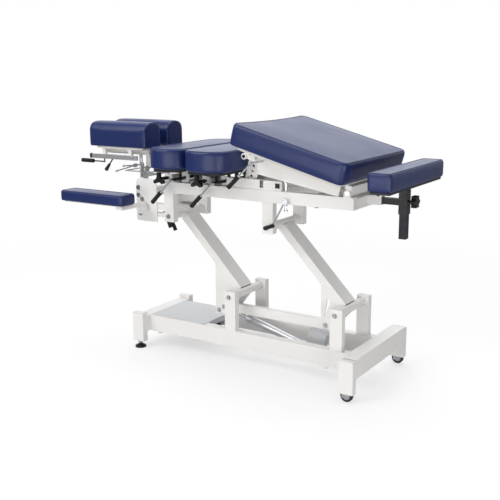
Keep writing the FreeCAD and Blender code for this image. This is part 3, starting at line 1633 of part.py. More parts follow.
def pelvic_cushion():
    bottom, top = cushion_bottom, pelvic_corner
    y = about(0, pelvic_span)
    pad = cushion(pelvic_x, y, bottom, cushion_height, top, cushion_crown, pelvic_edge_dip)
    return tilted(pad)


def flat_cushion(x, across, corner):
    return cushion(x, about(0, across), cushion_bottom, cushion_height, corner, cushion_crown)


def foot_cushion():
    x = span(foot_cushion_start, foot_cushion_width)
    return cushion(x, about(0, foot_cushion_span), foot_cushion_bottom, foot_cushion_height,
                   foot_cushion_corner, foot_cushion_crown)


def arm_rest_cushion():
    x = span(arm_cushion_start, arm_cushion_length)
    y = span(-arm_cushion_near, arm_cushion_width)
    return cushion(x, y, arm_cushion_bottom, arm_cushion_height, arm_cushion_corner, arm_cushion_crown)


def base_frame():
    """Welded base: rails, legs, cross members, posts, straps and the feet's threaded plugs."""
    shapes = []
    rails = group([base_rails(), base_cross_members()])
    for piece in (rails, base_legs(), lift_posts(), control_box_straps(), foot_nuts()):
        shapes += piece.Solids
    return group(shapes)


def build_parts():
    """All nodes, by name."""
    thoracic = (thoracic_lever_x, lever_shaft_z)
    lumbar = (lumbar_lever_x, lever_shaft_z)
    pelvic = (pelvic_lever_x, pelvic_lever_z)
    ends = (lever_near_y, lever_far_y)
    pelvic_ends = (pelvic_lever_near_y, pelvic_lever_far_y)
    pelvic_angle = lever_angle + pelvic_tilt
    near_tyre, near_hub = castor_tyre(), castor_hub()
    return {
        "base_frame": base_frame(),
        "base_end_caps": end_caps(),
        "base_cover": base_cover(),
        "control_box": control_box(),
        "levelling_feet": both_sides(levelling_foot()),
        "castor_forks": both_sides(castor_fork()),
        "lower_pivot_shafts": lower_pivot_shafts(),
        "actuator_mount": actuator_mount(),
        "castor_tyre_right": near_tyre,
        "castor_hub_right": near_hub,
        "castor_tyre_left": mirrored(near_tyre),
        "castor_hub_left": mirrored(near_hub),
        "head_lift_arm": head_lift_arm(),
        "head_crank_pins": head_crank_pins(),
        "foot_lift_arm": foot_lift_arm(),
        "foot_crank_pins": foot_crank_pins(),
        "tie_bar": tie_bar(),
        "actuator_housing": actuator_housing(),
        "actuator_tube": actuator_tube(),
        "actuator_rod": actuator_rod(),
        "upper_frame": upper_frame(),
        "upper_end_caps": upper_end_caps(),
        "upper_bolts": upper_bolts(),
        "drop_mechanism": drop_mechanism(),
        "head_carrier": head_carrier(),
        "thoracic_board": board(thoracic_x, thoracic_span, guide_places(thoracic_x), thoracic),
        "thoracic_cushion": flat_cushion(thoracic_x, thoracic_span, cushion_corner),
        "lumbar_board": board(lumbar_x, lumbar_span, guide_places(lumbar_x), lumbar),
        "lumbar_cushion": flat_cushion(lumbar_x, lumbar_span, cushion_corner),
        "thoracic_lever": lever(*thoracic, ends, lever_angle),
        "thoracic_lever_grip": lever_grip(*thoracic, lever_near_y, lever_angle),
        "lumbar_lever": lever(*lumbar, ends, lever_angle),
        "lumbar_lever_grip": lever_grip(*lumbar, lever_near_y, lever_angle),
        "thoracic_tension_knob": tension_knob(thoracic_knob_x),
        "lumbar_tension_knob": tension_knob(lumbar_knob_x),
        "pelvic_frame": pelvic_frame(),
        "pelvic_board": tilted(board(pelvic_x, pelvic_span, pelvic_pin_places, pelvic)),
        "pelvic_cushion": pelvic_cushion(),
        "pelvic_lever": tilted(lever(*pelvic, pelvic_ends, pelvic_angle)),
        "pelvic_lever_grip": tilted(lever_grip(*pelvic, pelvic_lever_near_y, pelvic_angle)),
        "strut_cylinder": strut_cylinder(),
        "strut_rod": strut_rod(),
        "release_lever": release_lever(),
        "foot_slide_tube": foot_slide_tube(),
        "foot_post": foot_post(),
        "foot_cushion": foot_cushion(),
        "foot_clamp_knob": foot_clamp_knob(),
        "head_riser": head_riser(),
        "head_rail_rod": head_rail_rod(),
        "head_bracket": head_bracket(),
        "pull_bars": pull_bars(),
        "pull_grips": pull_grips(),
        "head_board_right": head_board(),
        "head_cushion_right": head_cushion(),
        "head_board_left": mirrored(head_board()),
        "head_cushion_left": mirrored(head_cushion()),
        "head_lock_lever": head_lock_lever(),
        "height_levers": height_levers(),
        "arm_rest_frame": arm_rest_frame(),
        "arm_rest_cushion": arm_rest_cushion(),
    }


def origin(parts):
    """Bottom centre of the box around the whole table."""
    box = Part.makeCompound(list(parts.values())).optimalBoundingBox(False, False)
    return V((box.XMin + box.XMax) / 2, (box.YMin + box.YMax) / 2, box.ZMin)


def main():
    os.makedirs("parts", exist_ok=True)
    parts = build_parts()
    shift = origin(parts) * -1
    for name, shape in parts.items():
        shape.translate(shift)
        shape.exportStep(os.path.join("parts", name + ".step"))


if __name__ == "__main__":
    main()
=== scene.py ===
import math

import bmesh
import bpy
import numpy as np
from mathutils import Matrix, Vector
from mathutils.bvhtree import BVHTree
from mathutils.kdtree import KDTree


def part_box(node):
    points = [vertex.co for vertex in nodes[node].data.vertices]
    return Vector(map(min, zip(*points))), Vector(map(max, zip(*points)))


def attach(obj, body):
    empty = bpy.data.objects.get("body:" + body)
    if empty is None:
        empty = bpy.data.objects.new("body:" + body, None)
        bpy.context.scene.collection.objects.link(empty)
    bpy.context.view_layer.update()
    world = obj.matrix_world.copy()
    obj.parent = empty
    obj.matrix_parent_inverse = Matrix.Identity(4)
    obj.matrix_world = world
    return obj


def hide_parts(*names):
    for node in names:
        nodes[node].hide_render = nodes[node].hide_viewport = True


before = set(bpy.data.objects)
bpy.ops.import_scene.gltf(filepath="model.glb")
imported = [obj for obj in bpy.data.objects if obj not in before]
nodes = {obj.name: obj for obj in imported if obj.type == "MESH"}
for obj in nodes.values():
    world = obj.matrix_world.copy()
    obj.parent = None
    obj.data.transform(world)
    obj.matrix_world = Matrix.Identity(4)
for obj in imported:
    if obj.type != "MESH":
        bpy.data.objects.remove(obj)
scene = bpy.context.scene
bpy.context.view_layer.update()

MM = 0.001
# From the base's head end, middle and floor to the row frame, in millimetres
SHIFT = Vector((-472.0, 25.5, 0.0))
UP, DOWN, TO_NEAR_SIDE, TO_FAR_SIDE = (0, 0, 1), (0, 0, -1), (0, -1, 0), (0, 1, 0)


def at(x, y, z):
    """A place in the row frame, from millimetres measured from the base's head end, middle and floor."""
    return (Vector((x, y, z)) + SHIFT) * MM


# Meshes and objects


def add_piece(name, mesh, body, material):
    """A smooth shaded object that rides on a body."""
    piece = bpy.data.objects.new(name, mesh)
    scene.collection.objects.link(piece)
    mesh.materials.append(material)
    mesh.polygons.foreach_set("use_smooth", [True] * len(mesh.polygons))
    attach(piece, body)
    return piece


def fitted(name, mesh, body, slot):
    """A piece with the finish of a slot."""
    return add_piece(name, mesh, body, looks[slot])


def mesh_of(name, points, faces):
    mesh = bpy.data.meshes.new(name)
    mesh.from_pydata([tuple(p) for p in points], [], faces)
    mesh.update()
    return mesh


def outward(mesh):
    """Turns every face outward."""
    bm = bmesh.new()
    bm.from_mesh(mesh)
    bmesh.ops.recalc_face_normals(bm, faces=bm.faces)
    bm.to_mesh(mesh)
    bm.free()
    return mesh


def sharpen(mesh, degrees=35):
    """Marks the edges sharper than an angle, so that smooth shading keeps them crisp."""
    bm = bmesh.new()
    bm.from_mesh(mesh)
    for edge in bm.edges:
        if len(edge.link_faces) == 2 and edge.calc_face_angle(0) > math.radians(degrees):
            edge.smooth = False
    bm.to_mesh(mesh)
    bm.free()
    return mesh


def turned(name, profile, start, direction, count=40, wave=None):
    """A lathe shape: (distance along, radius) pairs in millimetres about an axis.

    A wave gives a radius factor by angle.
    """
    unit = Vector(direction).normalized()
    side = unit.orthogonal().normalized()
    other = unit.cross(side)
    points, faces = [], []
    for along, radius in profile:
        for k in range(count):
            turn = 2 * math.pi * k / count
            out = side * math.cos(turn) + other * math.sin(turn)
            r = radius * MM * (wave(turn) if wave else 1)
            points.append(Vector(start) + unit * (along * MM) + out * r)
    for row in range(len(profile) - 1):
        for k in range(count):
            a, b = row * count + k, row * count + (k + 1) % count
            faces.append((a, b, b + count, a + count))
    faces.append(tuple(range(count))[::-1])
    faces.append(tuple(range((len(profile) - 1) * count, len(profile) * count)))
    return sharpen(outward(mesh_of(name, points, faces)))


def tube(name, path, radius, sides=8, closed=False):
    """A round tube along a path of points, with its radius in millimetres."""
    path = [Vector(p) for p in path]
    n = len(path)
    points, faces = [], []
    normal = None
    for i, p in enumerate(path):
        before = path[i - 1] if i or closed else p
        after = path[(i + 1) % n] if i < n - 1 or closed else p
        along = (after - before).normalized()
        if normal is None:
            normal = along.orthogonal().normalized()
        normal = (normal - along * normal.dot(along)).normalized()
        side = along.cross(normal)
        for k in range(sides):
            turn = 2 * math.pi * k / sides
            points.append(p + (normal * math.cos(turn) + side * math.sin(turn)) * (radius * MM))
    for i in range(n if closed else n - 1):
        for k in range(sides):
            a, b = i * sides + k, i * sides + (k + 1) % sides
            c = ((i + 1) % n) * sides
            faces.append((a, b, c + (k + 1) % sides, c + k))
    if not closed:
        faces.append(tuple(range(sides))[::-1])
        faces.append(tuple(range((n - 1) * sides, n * sides)))
    return outward(mesh_of(name, points, faces))


def surface(mesh):
    """A search tree over a mesh's faces."""
    return BVHTree.FromPolygons([v.co for v in mesh.vertices], [p.vertices for p in mesh.polygons])


def point_finder(points):
    """A search tree over points."""
    finder = KDTree(len(points))
    for i, p in enumerate(points):
        finder.insert(p, i)
    finder.balance()
    return finder


# Materials


def add_node(tree, kind, inputs=None, **settings):
    """A node with its settings, whose inputs are linked or given a value."""
    made = tree.nodes.new(kind)
    for key, value in settings.items():
        setattr(made, key, value)
    for key, value in (inputs or {}).items():
        if isinstance(value, bpy.types.NodeSocket):
            tree.links.new(value, made.inputs[key])
        else:
            made.inputs[key].default_value = value
    return made


class Finish:
    """A material under construction, with its textures in object space."""

    def __init__(self, name, colour, roughness, metallic=0.0, **sockets):
        self.material = bpy.data.materials.new(name)
        self.material.use_nodes = True
        self.tree = self.material.node_tree
        self.tree.nodes.clear()
        self.out = self.tree.nodes.new("ShaderNodeOutputMaterial")
        self.shader = self.tree.nodes.new("ShaderNodeBsdfPrincipled")
        self.tree.links.new(self.shader.outputs["BSDF"], self.out.inputs["Surface"])
        self.shader.inputs["Base Color"].default_value = (*colour, 1)
        self.shader.inputs["Roughness"].default_value = roughness
        self.shader.inputs["Metallic"].default_value = metallic
        for socket, value in sockets.items():
            self.shader.inputs[socket.replace("_", " ")].default_value = value
        self.place = self.node("ShaderNodeTexCoord").outputs["Object"]
        self.normal = None

    def node(self, kind, inputs=None, **settings):
        return add_node(self.tree, kind, inputs, **settings)

    def stretched(self, scale):
        return self.node("ShaderNodeMapping", {"Vector": self.place, "Scale": scale}).outputs["Vector"]

    def noise(self, scale, detail=2.0, rough=0.5, vector=None):
        return self.node("ShaderNodeTexNoise", {"Vector": vector or self.place, "Scale": scale, "Detail": detail,
                                                "Roughness": rough}).outputs["Fac"]

    def cells(self, scale):
        return self.node("ShaderNodeTexVoronoi", {"Vector": self.place, "Scale": scale}).outputs["Distance"]

    def maths(self, operation, a, b=0.0):
        return self.node("ShaderNodeMath", {0: a, 1: b}, operation=operation).outputs[0]

    def remap(self, value, low, high, to_low, to_high):
        return self.node("ShaderNodeMapRange", {"Value": value, "From Min": low, "From Max": high, "To Min": to_low,
                                                "To Max": to_high}).outputs["Result"]

    def attribute(self, name):
        return self.node("ShaderNodeAttribute", attribute_name=name).outputs["Fac"]

    def hump(self, attribute, width):
        """A bell curve of an attribute in millimetres: 1 where it is 0, and low past its width."""
        share = self.maths("POWER", self.maths("DIVIDE", self.attribute(attribute), width), 2.0)
        return self.maths("EXPONENT", self.maths("MULTIPLY", share, -1.0))

    def colours(self, factor, first, second):
        made = self.node("ShaderNodeMix", {"Factor": factor}, data_type="RGBA")
        for key, value in (("A", first), ("B", second)):
            for socket in made.inputs:
                if socket.identifier == key + "_Color":
                    socket.default_value = (*value, 1)
        return next(s for s in made.outputs if s.identifier == "Result_Color")

    def tint(self, colour, factor, amount):
        """Multiplies a colour by a grey factor."""
        made = self.node("ShaderNodeMix", data_type="RGBA", blend_type="MULTIPLY")
        for socket in made.inputs:
            if socket.identifier == "Factor_Float":
                socket.default_value = amount
            if socket.identifier == "A_Color":
                self.tree.links.new(colour, socket)
            if socket.identifier == "B_Color":
                self.tree.links.new(factor, socket)
        return next(s for s in made.outputs if s.identifier == "Result_Color")

    def bump(self, height, strength, distance):
        inputs = {"Height": height, "Strength": strength, "Distance": distance}
        if self.normal:
            inputs["Normal"] = self.normal
        self.normal = self.node("ShaderNodeBump", inputs).outputs["Normal"]
        self.tree.links.new(self.normal, self.shader.inputs["Normal"])

    def into(self, socket, value):
        self.tree.links.new(value, self.shader.inputs[socket])
        return self


def coated(name, first, second, rough, peel=0.12, scale=620.0, **sockets):
    """Sprayed powder coat: faint orange peel, slight unevenness of colour and gloss."""
    f = Finish(name, first, rough, **sockets)
    f.into("Base Color", f.colours(f.noise(7.0, 3.0), first, second))
    f.into("Roughness", f.remap(f.noise(38.0, 3.0), 0.3, 0.7, rough - 0.05, rough + 0.07))
    f.bump(f.noise(scale, 2.0), peel, 0.0004)
    return f.material


def moulded(name, colour, worn, rough, scale=1500.0, grain=0.25, **sockets):
    """Moulded plastic with a spark-eroded grain."""
    f = Finish(name, colour, rough, **sockets)
    f.into("Base Color", f.colours(f.noise(24.0, 4.0), colour, worn))
    f.into("Roughness", f.remap(f.noise(90.0, 2.0), 0.3, 0.7, rough - 0.06, rough + 0.08))
    f.bump(f.noise(scale, 3.0), grain, 0.0002)
    return f.material


def plated(name, first, second, rough, spangle=60.0):
    """Plated or polished metal with faint clouds and fine scratches."""
    f = Finish(name, first, rough, 1.0)
    f.into("Base Color", f.colours(f.noise(spangle, 4.0), first, second))
    f.into("Roughness", f.remap(f.noise(140.0, 3.0), 0.3, 0.7, max(rough - 0.05, 0.03), rough + 0.08))
    f.bump(f.noise(900.0, 2.0, 0.6, f.stretched((1.0, 0.12, 1.0))), 0.06, 0.0002)
    return f.material


def brushed(name, first, second, rough):
    """Drawn aluminium with long fine lines."""
    f = Finish(name, first, rough, 1.0)
    lines = f.noise(1400.0, 3.0, 0.6, f.stretched((0.02, 1.0, 1.0)))
    f.into("Base Color", f.colours(lines, first, second))
    f.into("Roughness", f.remap(lines, 0.3, 0.7, rough - 0.06, rough + 0.08))
    f.bump(lines, 0.10, 0.0002)
    return f.material


# Half widths of a seam's crease and of the gathers beside it, in millimetres
CREASE_WIDTH, GATHER_WIDTH = 2.2, 9.0


def vinyl(name, first, second, seamed):
    """Upholstery vinyl: pebbled grain, soft unevenness, and a pulled crease along each seam, which painted shade
    darkens.
    """
    f = Finish(name, first, 0.35, Specular_IOR_Level=0.5)
    colour = f.colours(f.remap(f.noise(9.0, 3.0), 0.35, 0.65, 0, 1), first, second)
    pebbles = f.cells(1050.0)
    fine = f.cells(2300.0)
    grain = f.maths("ADD", f.maths("MULTIPLY", pebbles, 0.7), f.maths("MULTIPLY", fine, 0.3))
    shade = f.remap(pebbles, 0.0, 0.7, 1.0, 0.86)
    colour = f.tint(colour, shade, 0.6)
    rough = f.remap(f.noise(8.0, 2.0), 0.3, 0.7, 0.33, 0.37)
    f.bump(f.noise(7.0, 1.0), 0.04, 0.006)
    if seamed:
        near, wide = f.hump("seam", CREASE_WIDTH), f.hump("seam", GATHER_WIDTH)
        gather = f.maths("MULTIPLY", f.noise(120.0, 2.0), wide)
        f.bump(f.maths("MULTIPLY", near, -1.0), 0.55, 0.0012)
        f.bump(gather, 0.40, 0.0016)
        # Painted shade: the colour darkens to 0.55 times in each seam's crease
        colour = f.tint(colour, f.remap(near, 0.0, 1.0, 1.0, 0.55), 1.0)
    f.bump(grain, 0.30, 0.00035)
    f.into("Base Color", colour)
    f.into("Roughness", rough)
    return f.material


def rubber(name, colour, dusty):
    """Matt rubber with dust in patches."""
    f = Finish(name, colour, 0.72)
    f.into("Base Color", f.colours(f.remap(f.noise(60.0, 5.0), 0.4, 0.75, 0, 1), colour, dusty))
    f.into("Roughness", f.remap(f.noise(200.0, 2.0), 0.3, 0.7, 0.62, 0.82))
    f.bump(f.noise(800.0, 3.0), 0.3, 0.0003)
    return f.material


def painted_board(name, colour, worn):
    """Painted plywood: the grain shows through as faint lines."""
    f = Finish(name, colour, 0.6)
    lines = f.noise(420.0, 4.0, 0.6, f.stretched((1.0, 0.05, 1.0)))
    f.into("Base Color", f.colours(lines, colour, worn))
    f.bump(lines, 0.2, 0.0004)
    return f.material


NAVY, NAVY_LIGHT = (0.0048, 0.0175, 0.108), (0.0058, 0.0200, 0.120)

looks = {
    "white_coat": coated("white_powder_coat", (0.85, 0.838, 0.822), (0.81, 0.797, 0.78), 0.36),
    "grey_sheet": coated("cover_powder_coat", (0.62, 0.63, 0.645), (0.59, 0.60, 0.615), 0.42, 0.2, 420.0),
    "white_plastic": moulded("white_cap_plastic", (0.81, 0.81, 0.79), (0.76, 0.76, 0.74), 0.44),
    "grey_plastic": moulded("grey_hub_plastic", (0.42, 0.43, 0.45), (0.36, 0.37, 0.39), 0.42),
    "black_plastic": moulded("black_grip_plastic", (0.006, 0.006, 0.007), (0.012, 0.012, 0.013), 0.38,
                             Specular_IOR_Level=0.34),
    "black_steel": coated("black_powder_coat", (0.005, 0.007, 0.011), (0.009, 0.011, 0.017), 0.36, 0.22, 900.0,
                          Specular_IOR_Level=0.36),
    "chrome": plated("chrome_plate", (0.70, 0.71, 0.74), (0.62, 0.63, 0.66), 0.12),
    "zinc": plated("zinc_plate", (0.66, 0.67, 0.69), (0.54, 0.55, 0.57), 0.22, 110.0),
    "bare_aluminium": brushed("drawn_aluminium", (0.70, 0.71, 0.73), (0.60, 0.61, 0.64), 0.36),
    "tyre": rubber("castor_rubber", (0.014, 0.014, 0.015), (0.040, 0.039, 0.037)),
    "white_board": painted_board("board_paint", (0.78, 0.77, 0.74), (0.72, 0.70, 0.67)),
    "navy_vinyl": vinyl("navy_upholstery", NAVY, NAVY_LIGHT, False),
}
seamed_vinyl = vinyl("navy_upholstery_seamed", NAVY, NAVY_LIGHT, True)
thread = moulded("navy_thread", (0.012, 0.024, 0.095), (0.020, 0.036, 0.13), 0.55, 3200.0, 0.5)
housing_finish = moulded("motor_housing_plastic", (0.60, 0.61, 0.63), (0.54, 0.55, 0.57), 0.38)
# Painted shade: the thoracic and lumbar boards are painted near black to stand for the shade beneath their cushions
shade_painted_board = painted_board("painted_shade_board", (0.016, 0.017, 0.022), (0.010, 0.011, 0.014))

for node in nodes.values():
    for slot in node.material_slots:
        slot.material = looks[slot.material.name.split(".")[0]]
nodes["actuator_housing"].material_slots[0].material = housing_finish
for name in ("thoracic_board", "lumbar_board"):
    nodes[name].material_slots[0].material = shade_painted_board

# Box tubes, plates and boards have small rounded edges, in millimetres
EDGE_ROUNDING = {
    "base_frame": 2.4, "upper_frame": 2.4, "head_lift_arm": 2.0, "foot_lift_arm": 2.0, "tie_bar": 2.2,
    "pelvic_frame": 1.0, "head_bracket": 1.0, "head_carrier": 1.4, "head_riser": 1.2, "drop_mechanism": 0.8,
    "actuator_mount": 1.2, "arm_rest_frame": 1.2, "base_cover": 1.6, "base_end_caps": 0.8, "upper_end_caps": 0.8,
    "foot_slide_tube": 2.0, "foot_post": 2.2, "pull_bars": 1.4, "control_box": 3.0, "castor_forks": 0.6,
    "thoracic_board": 1.0, "lumbar_board": 1.0, "pelvic_board": 1.0, "head_board_right": 1.0, "head_board_left": 1.0,
    "actuator_housing": 2.4,
}
ROUNDING_STEPS = 3
MERGE_GAP = 0.01
# Degrees between faces: below the first they are one flat, above the second their edge is rounded
FLAT_ANGLE, EDGE_ANGLE = 0.5, 40
for name, width in EDGE_ROUNDING.items():
    weld = nodes[name].modifiers.new("Weld", "WELD")
    weld.merge_threshold = MERGE_GAP * MM
    flat = nodes[name].modifiers.new("Flat", "DECIMATE")
    flat.decimate_type = "DISSOLVE"
    flat.angle_limit = math.radians(FLAT_ANGLE)
    bevel = nodes[name].modifiers.new("Edges", "BEVEL")
    bevel.width = width * MM
    bevel.segments = ROUNDING_STEPS
    bevel.limit_method = "ANGLE"
    bevel.angle_limit = math.radians(EDGE_ANGLE)
    bevel.harden_normals = True

# Camera, light and floor

# Degrees from the near side towards the foot end, above the floor, and about the view
CAMERA_TURN, CAMERA_LIFT, CAMERA_ROLL = 33.0, 12.76, -0.45
CAMERA_PLACE = (1.9417, -2.8882, 1.2661)
CAMERA_LENS, CAMERA_SENSOR = 58.94, 36.0

# The wall behind the table is bright, the ones in front are darker
BACK_WALL_WAY = (-0.545, 0.838, 0.0)
FRONT_WALL, BACK_WALL, CEILING = 0.24, 1.35, 0.25

FLOOR_HALF = 14.0
# Metres from the middle over which the floor turns plain white, and the share of white at the start
FADE_START, FADE_END, FADE_SHARE = 0.6, 3.0, 0.60
FLOOR_GLOW = 0.30

LAMPS = {
    # name: place, target, size, watts, colour
    "key": ((-1.6, -2.6, 3.0), (0.0, 0.0, 0.5), (2.6, 2.0), 71, (1.0, 0.99, 0.975)),
    "top": ((0.2, 0.6, 3.4), (0.0, 0.0, 0.5), (3.2, 2.4), 64, (1.0, 1.0, 1.0)),
    "low_front": ((0.3, -3.4, 0.45), (0.0, 0.0, 0.25), (4.0, 0.9), 40, (1.0, 0.99, 0.98)),
    "low_side": ((2.5, -1.3, 0.35), (0.3, 0.0, 0.30), (1.4, 0.5), 15, (1.0, 0.99, 0.98)),
}


def make_camera():
    """The camera that was fitted to the photograph."""
    turn, lift, roll = (math.radians(a) for a in (CAMERA_TURN, CAMERA_LIFT, CAMERA_ROLL))
    back = Vector((math.sin(turn) * math.cos(lift), -math.cos(turn) * math.cos(lift), math.sin(lift)))
    right = Vector((math.cos(turn), math.sin(turn), 0))
    up = back.cross(right)
    across = right * math.cos(roll) + up * math.sin(roll)
    rise = up * math.cos(roll) - right * math.sin(roll)
    data = bpy.data.cameras.new("camera")
    data.lens = CAMERA_LENS
    data.sensor_width = CAMERA_SENSOR
    data.clip_start, data.clip_end = 0.05, 60.0
    camera = bpy.data.objects.new("camera", data)
    scene.collection.objects.link(camera)
    place = Matrix((across, rise, back)).transposed().to_4x4()
    place.translation = Vector(CAMERA_PLACE)
    camera.matrix_world = place
    scene.camera = camera


def make_world():
    """White walls behind and above the table, darker ones in front, and plain white for the camera."""
    world = bpy.data.worlds.new("studio")
    scene.world = world
    world.use_nodes = True
    tree = world.node_tree
    tree.nodes.clear()
    way = add_node(tree, "ShaderNodeTexCoord").outputs["Object"]
    height = add_node(tree, "ShaderNodeSeparateXYZ", {"Vector": way}).outputs["Z"]
    facing = add_node(tree, "ShaderNodeVectorMath", {0: way, 1: BACK_WALL_WAY}, operation="DOT_PRODUCT")
    walls = add_node(tree, "ShaderNodeMapRange", {
        "Value": facing.outputs["Value"], "From Min": 0.40, "From Max": 0.95, "To Min": FRONT_WALL,
        "To Max": BACK_WALL}, interpolation_type="SMOOTHSTEP").outputs["Result"]
    above = add_node(tree, "ShaderNodeMapRange", {
        "Value": height, "From Min": 0.2, "From Max": 1.0, "To Min": 0.0, "To Max": CEILING}).outputs["Result"]
    strength = add_node(tree, "ShaderNodeMath", {0: walls, 1: above}, operation="ADD").outputs[0]
    lit = add_node(tree, "ShaderNodeBackground", {"Color": (0.97, 0.985, 1.0, 1), "Strength": strength})
    seen = add_node(tree, "ShaderNodeBackground", {"Color": (1, 1, 1, 1), "Strength": 1.0})
    ray = add_node(tree, "ShaderNodeLightPath").outputs["Is Camera Ray"]
    mixed = add_node(tree, "ShaderNodeMixShader", {0: ray, 1: lit.outputs[0], 2: seen.outputs[0]})
    add_node(tree, "ShaderNodeOutputWorld", {"Surface": mixed.outputs[0]})


def make_floor():
    """Pale floor that fades to plain white well away from the table, so that no horizon shows."""
    h = FLOOR_HALF
    floor = mesh_of("floor", [(-h, -h, 0), (h, -h, 0), (h, h, 0), (-h, h, 0)], [(0, 1, 2, 3)])
    f = Finish("pale_floor", (0.95, 0.95, 0.95), 0.75)
    f.into("Base Color", f.colours(f.noise(0.9, 2.0), (0.955, 0.955, 0.955), (0.94, 0.942, 0.945)))
    f.bump(f.noise(260.0, 2.0), 0.05, 0.0005)
    away = f.node("ShaderNodeVectorMath", {0: f.place}, operation="LENGTH").outputs["Value"]
    seen = f.node("ShaderNodeLightPath").outputs["Is Camera Ray"]
    glow = f.remap(seen, 0, 1, FLOOR_GLOW, 1.0)
    white = f.node("ShaderNodeEmission", {"Color": (1, 1, 1, 1), "Strength": glow})
    fade = f.node("ShaderNodeMixShader", {0: f.remap(away, FADE_START, FADE_END, FADE_SHARE, 1)})
    f.tree.links.new(f.shader.outputs["BSDF"], fade.inputs[1])
    f.tree.links.new(white.outputs[0], fade.inputs[2])
    f.tree.links.new(fade.outputs[0], f.out.inputs["Surface"])
    floor.materials.append(f.material)
    ground = bpy.data.objects.new("floor", floor)
    scene.collection.objects.link(ground)


def make_lamps():
    """Rectangular soft lamps, each turned to its target."""
    for name, (place, target, size, power, colour) in LAMPS.items():
        data = bpy.data.lights.new(name, "AREA")
        data.shape = "RECTANGLE"
        data.size, data.size_y = size
        data.energy = power
        data.color = colour
        lamp = bpy.data.objects.new(name, data)
        scene.collection.objects.link(lamp)
        lamp.location = place
        lamp.rotation_euler = (Vector(target) - Vector(place)).to_track_quat("-Z", "Y").to_euler()


scene.view_settings.view_transform = "Standard"
make_camera()
make_world()
make_floor()
make_lamps()

# Cushions

# Height share and inset of a pad's skin, from the staples to the top panel
PAD_SIDE = ((0.0, 7.0), (0.04, 3.0), (0.15, 1.6), (0.5, 1.2), (0.82, 1.2), (0.93, 2.4), (0.985, 4.6), (1.0, 8.0))
# Distance from a head cushion's end and inset of its skin
HEAD_END = ((0.0, 9.0), (1.4, 5.0), (4.2, 2.2), (9.0, 1.1), (20.0, 0.8))
OUTLINE_STEP = 4.0
HEAD_X, HEAD_Y, HEAD_Z = (-266, 65), (25, 136), (908, 1021)
# Rise of the arch as a share of the width, and how square it is: 2 is an ellipse
HEAD_ARCH, HEAD_SQUARENESS = 0.41, 2.35
HEAD_FLAT_POINTS, HEAD_SIDE_POINTS, HEAD_ARCH_POINTS = 16, 12, 40
# The end seams, in from the skin's outline and from the cushion's end
HEAD_SEAM_INSET, HEAD_SEAM_FROM_END = 4.0, 2.4
HEAD_PUFF = 2.5

# A skin's grain before it is blown up, and the coarser one of the widest pad
VOXEL, WIDE_VOXEL = 4.6, 5.6
# Skin this near the underside or the seams, in millimetres, is held
UNDERSIDE, SEAM_HOLD = 4.0, 9.0
PRESSURE, FRAMES = 4.0, 20
# A pad's seam is found on its skin by rays that start this far out and run down and a little inward
RAY_START = 50.0
AIM_IN, AIM_DOWN = 0.26, 0.97
# A pad's skin may swell to its crown and this much more, before it is cut to the pad's limits
CROWN_ROOM = 1.0
# Past this distance from a seam its mark stays the same
SEAM_REACH, SEAM_FAR = 12.0, 60.0

BEAD_RADIUS, BEAD_RISE = 1.3, 0.5
STITCH_INSET, STITCH_RISE = 3.2, 0.2
STITCH_PITCH, STITCH_LENGTH, STITCH_RADIUS = 4.6, 3.4, 0.45

PADS = {
    "thoracic_cushion": dict(
        body="thoracic", plan=(157, 345, -270, 270), bottom=842, seam=927.5, crown=934, corner=84, dip=0, inset=9),
    "lumbar_cushion": dict(
        body="lumbar", plan=(350, 562, -280, 280), bottom=842, seam=927.5, crown=934, corner=84, dip=0, inset=9),
    "pelvic_cushion": dict(
        body="pelvic_pad", plan=(567, 1085, -283, 283), bottom=842, seam=928, crown=934, corner=30, dip=14,
        inset=9, raised=True),
    "foot_cushion": dict(
        body="foot_rest", plan=(1188, 1284, -268, 268), bottom=820, seam=889, crown=893, corner=11, dip=0, inset=8),
    "arm_rest_cushion": dict(
        body="arm_rest", plan=(-276, 90, -334, -236), bottom=679, seam=725, crown=728, corner=14, dip=0, inset=8),
}
HEAD_PADS = {"head_cushion_right": ("head_right", -1), "head_cushion_left": ("head_left", 1)}

# The pelvic section is drawn level and raised about its hinge
HINGE = at(1052, 0, 786.5)
TILT = math.radians(15)
LEVEL = Matrix.Identity(4)
RAISED = Matrix.Translation(HINGE) @ Matrix.Rotation(TILT, 4, "Y") @ Matrix.Translation(-HINGE)


def outline(plan, corner, inset, dip):
    """Plan outline in millimetres: (x, y, outward x, outward y), with round corners and a dipping head edge."""
    x0, x1, y0, y1 = plan
    r = corner
    found = []

    def straight(a, b):
        length = math.hypot(b[0] - a[0], b[1] - a[1])
        count = max(1, round(length / OUTLINE_STEP))
        ux, uy = (b[0] - a[0]) / length, (b[1] - a[1]) / length
        for k in range(count):
            t = k / count
            found.append([a[0] + (b[0] - a[0]) * t, a[1] + (b[1] - a[1]) * t, uy, -ux])

    def bend(cx, cy, first):
        count = max(4, round(math.pi / 2 * r / OUTLINE_STEP))
        for k in range(count):
            turn = math.radians(first + 90 * k / count)
            found.append([cx + r * math.cos(turn), cy + r * math.sin(turn), math.cos(turn), math.sin(turn)])

    straight((x0 + r, y0), (x1 - r, y0))
    bend(x1 - r, y0 + r, -90)
    straight((x1, y0 + r), (x1, y1 - r))
    bend(x1 - r, y1 - r, 0)
    straight((x1 - r, y1), (x0 + r, y1))
    bend(x0 + r, y1 - r, 90)
    mark = len(found)
    straight((x0, y1 - r), (x0, y0 + r))
    half, middle = (y1 - y0) / 2 - r, (y0 + y1) / 2
    for point in found[mark:]:
        point[0] += dip * (1 - ((point[1] - middle) / half) ** 2)
    bend(x0 + r, y0 + r, 180)
    return [(x - nx * inset, y - ny * inset, nx, ny) for x, y, nx, ny in found]


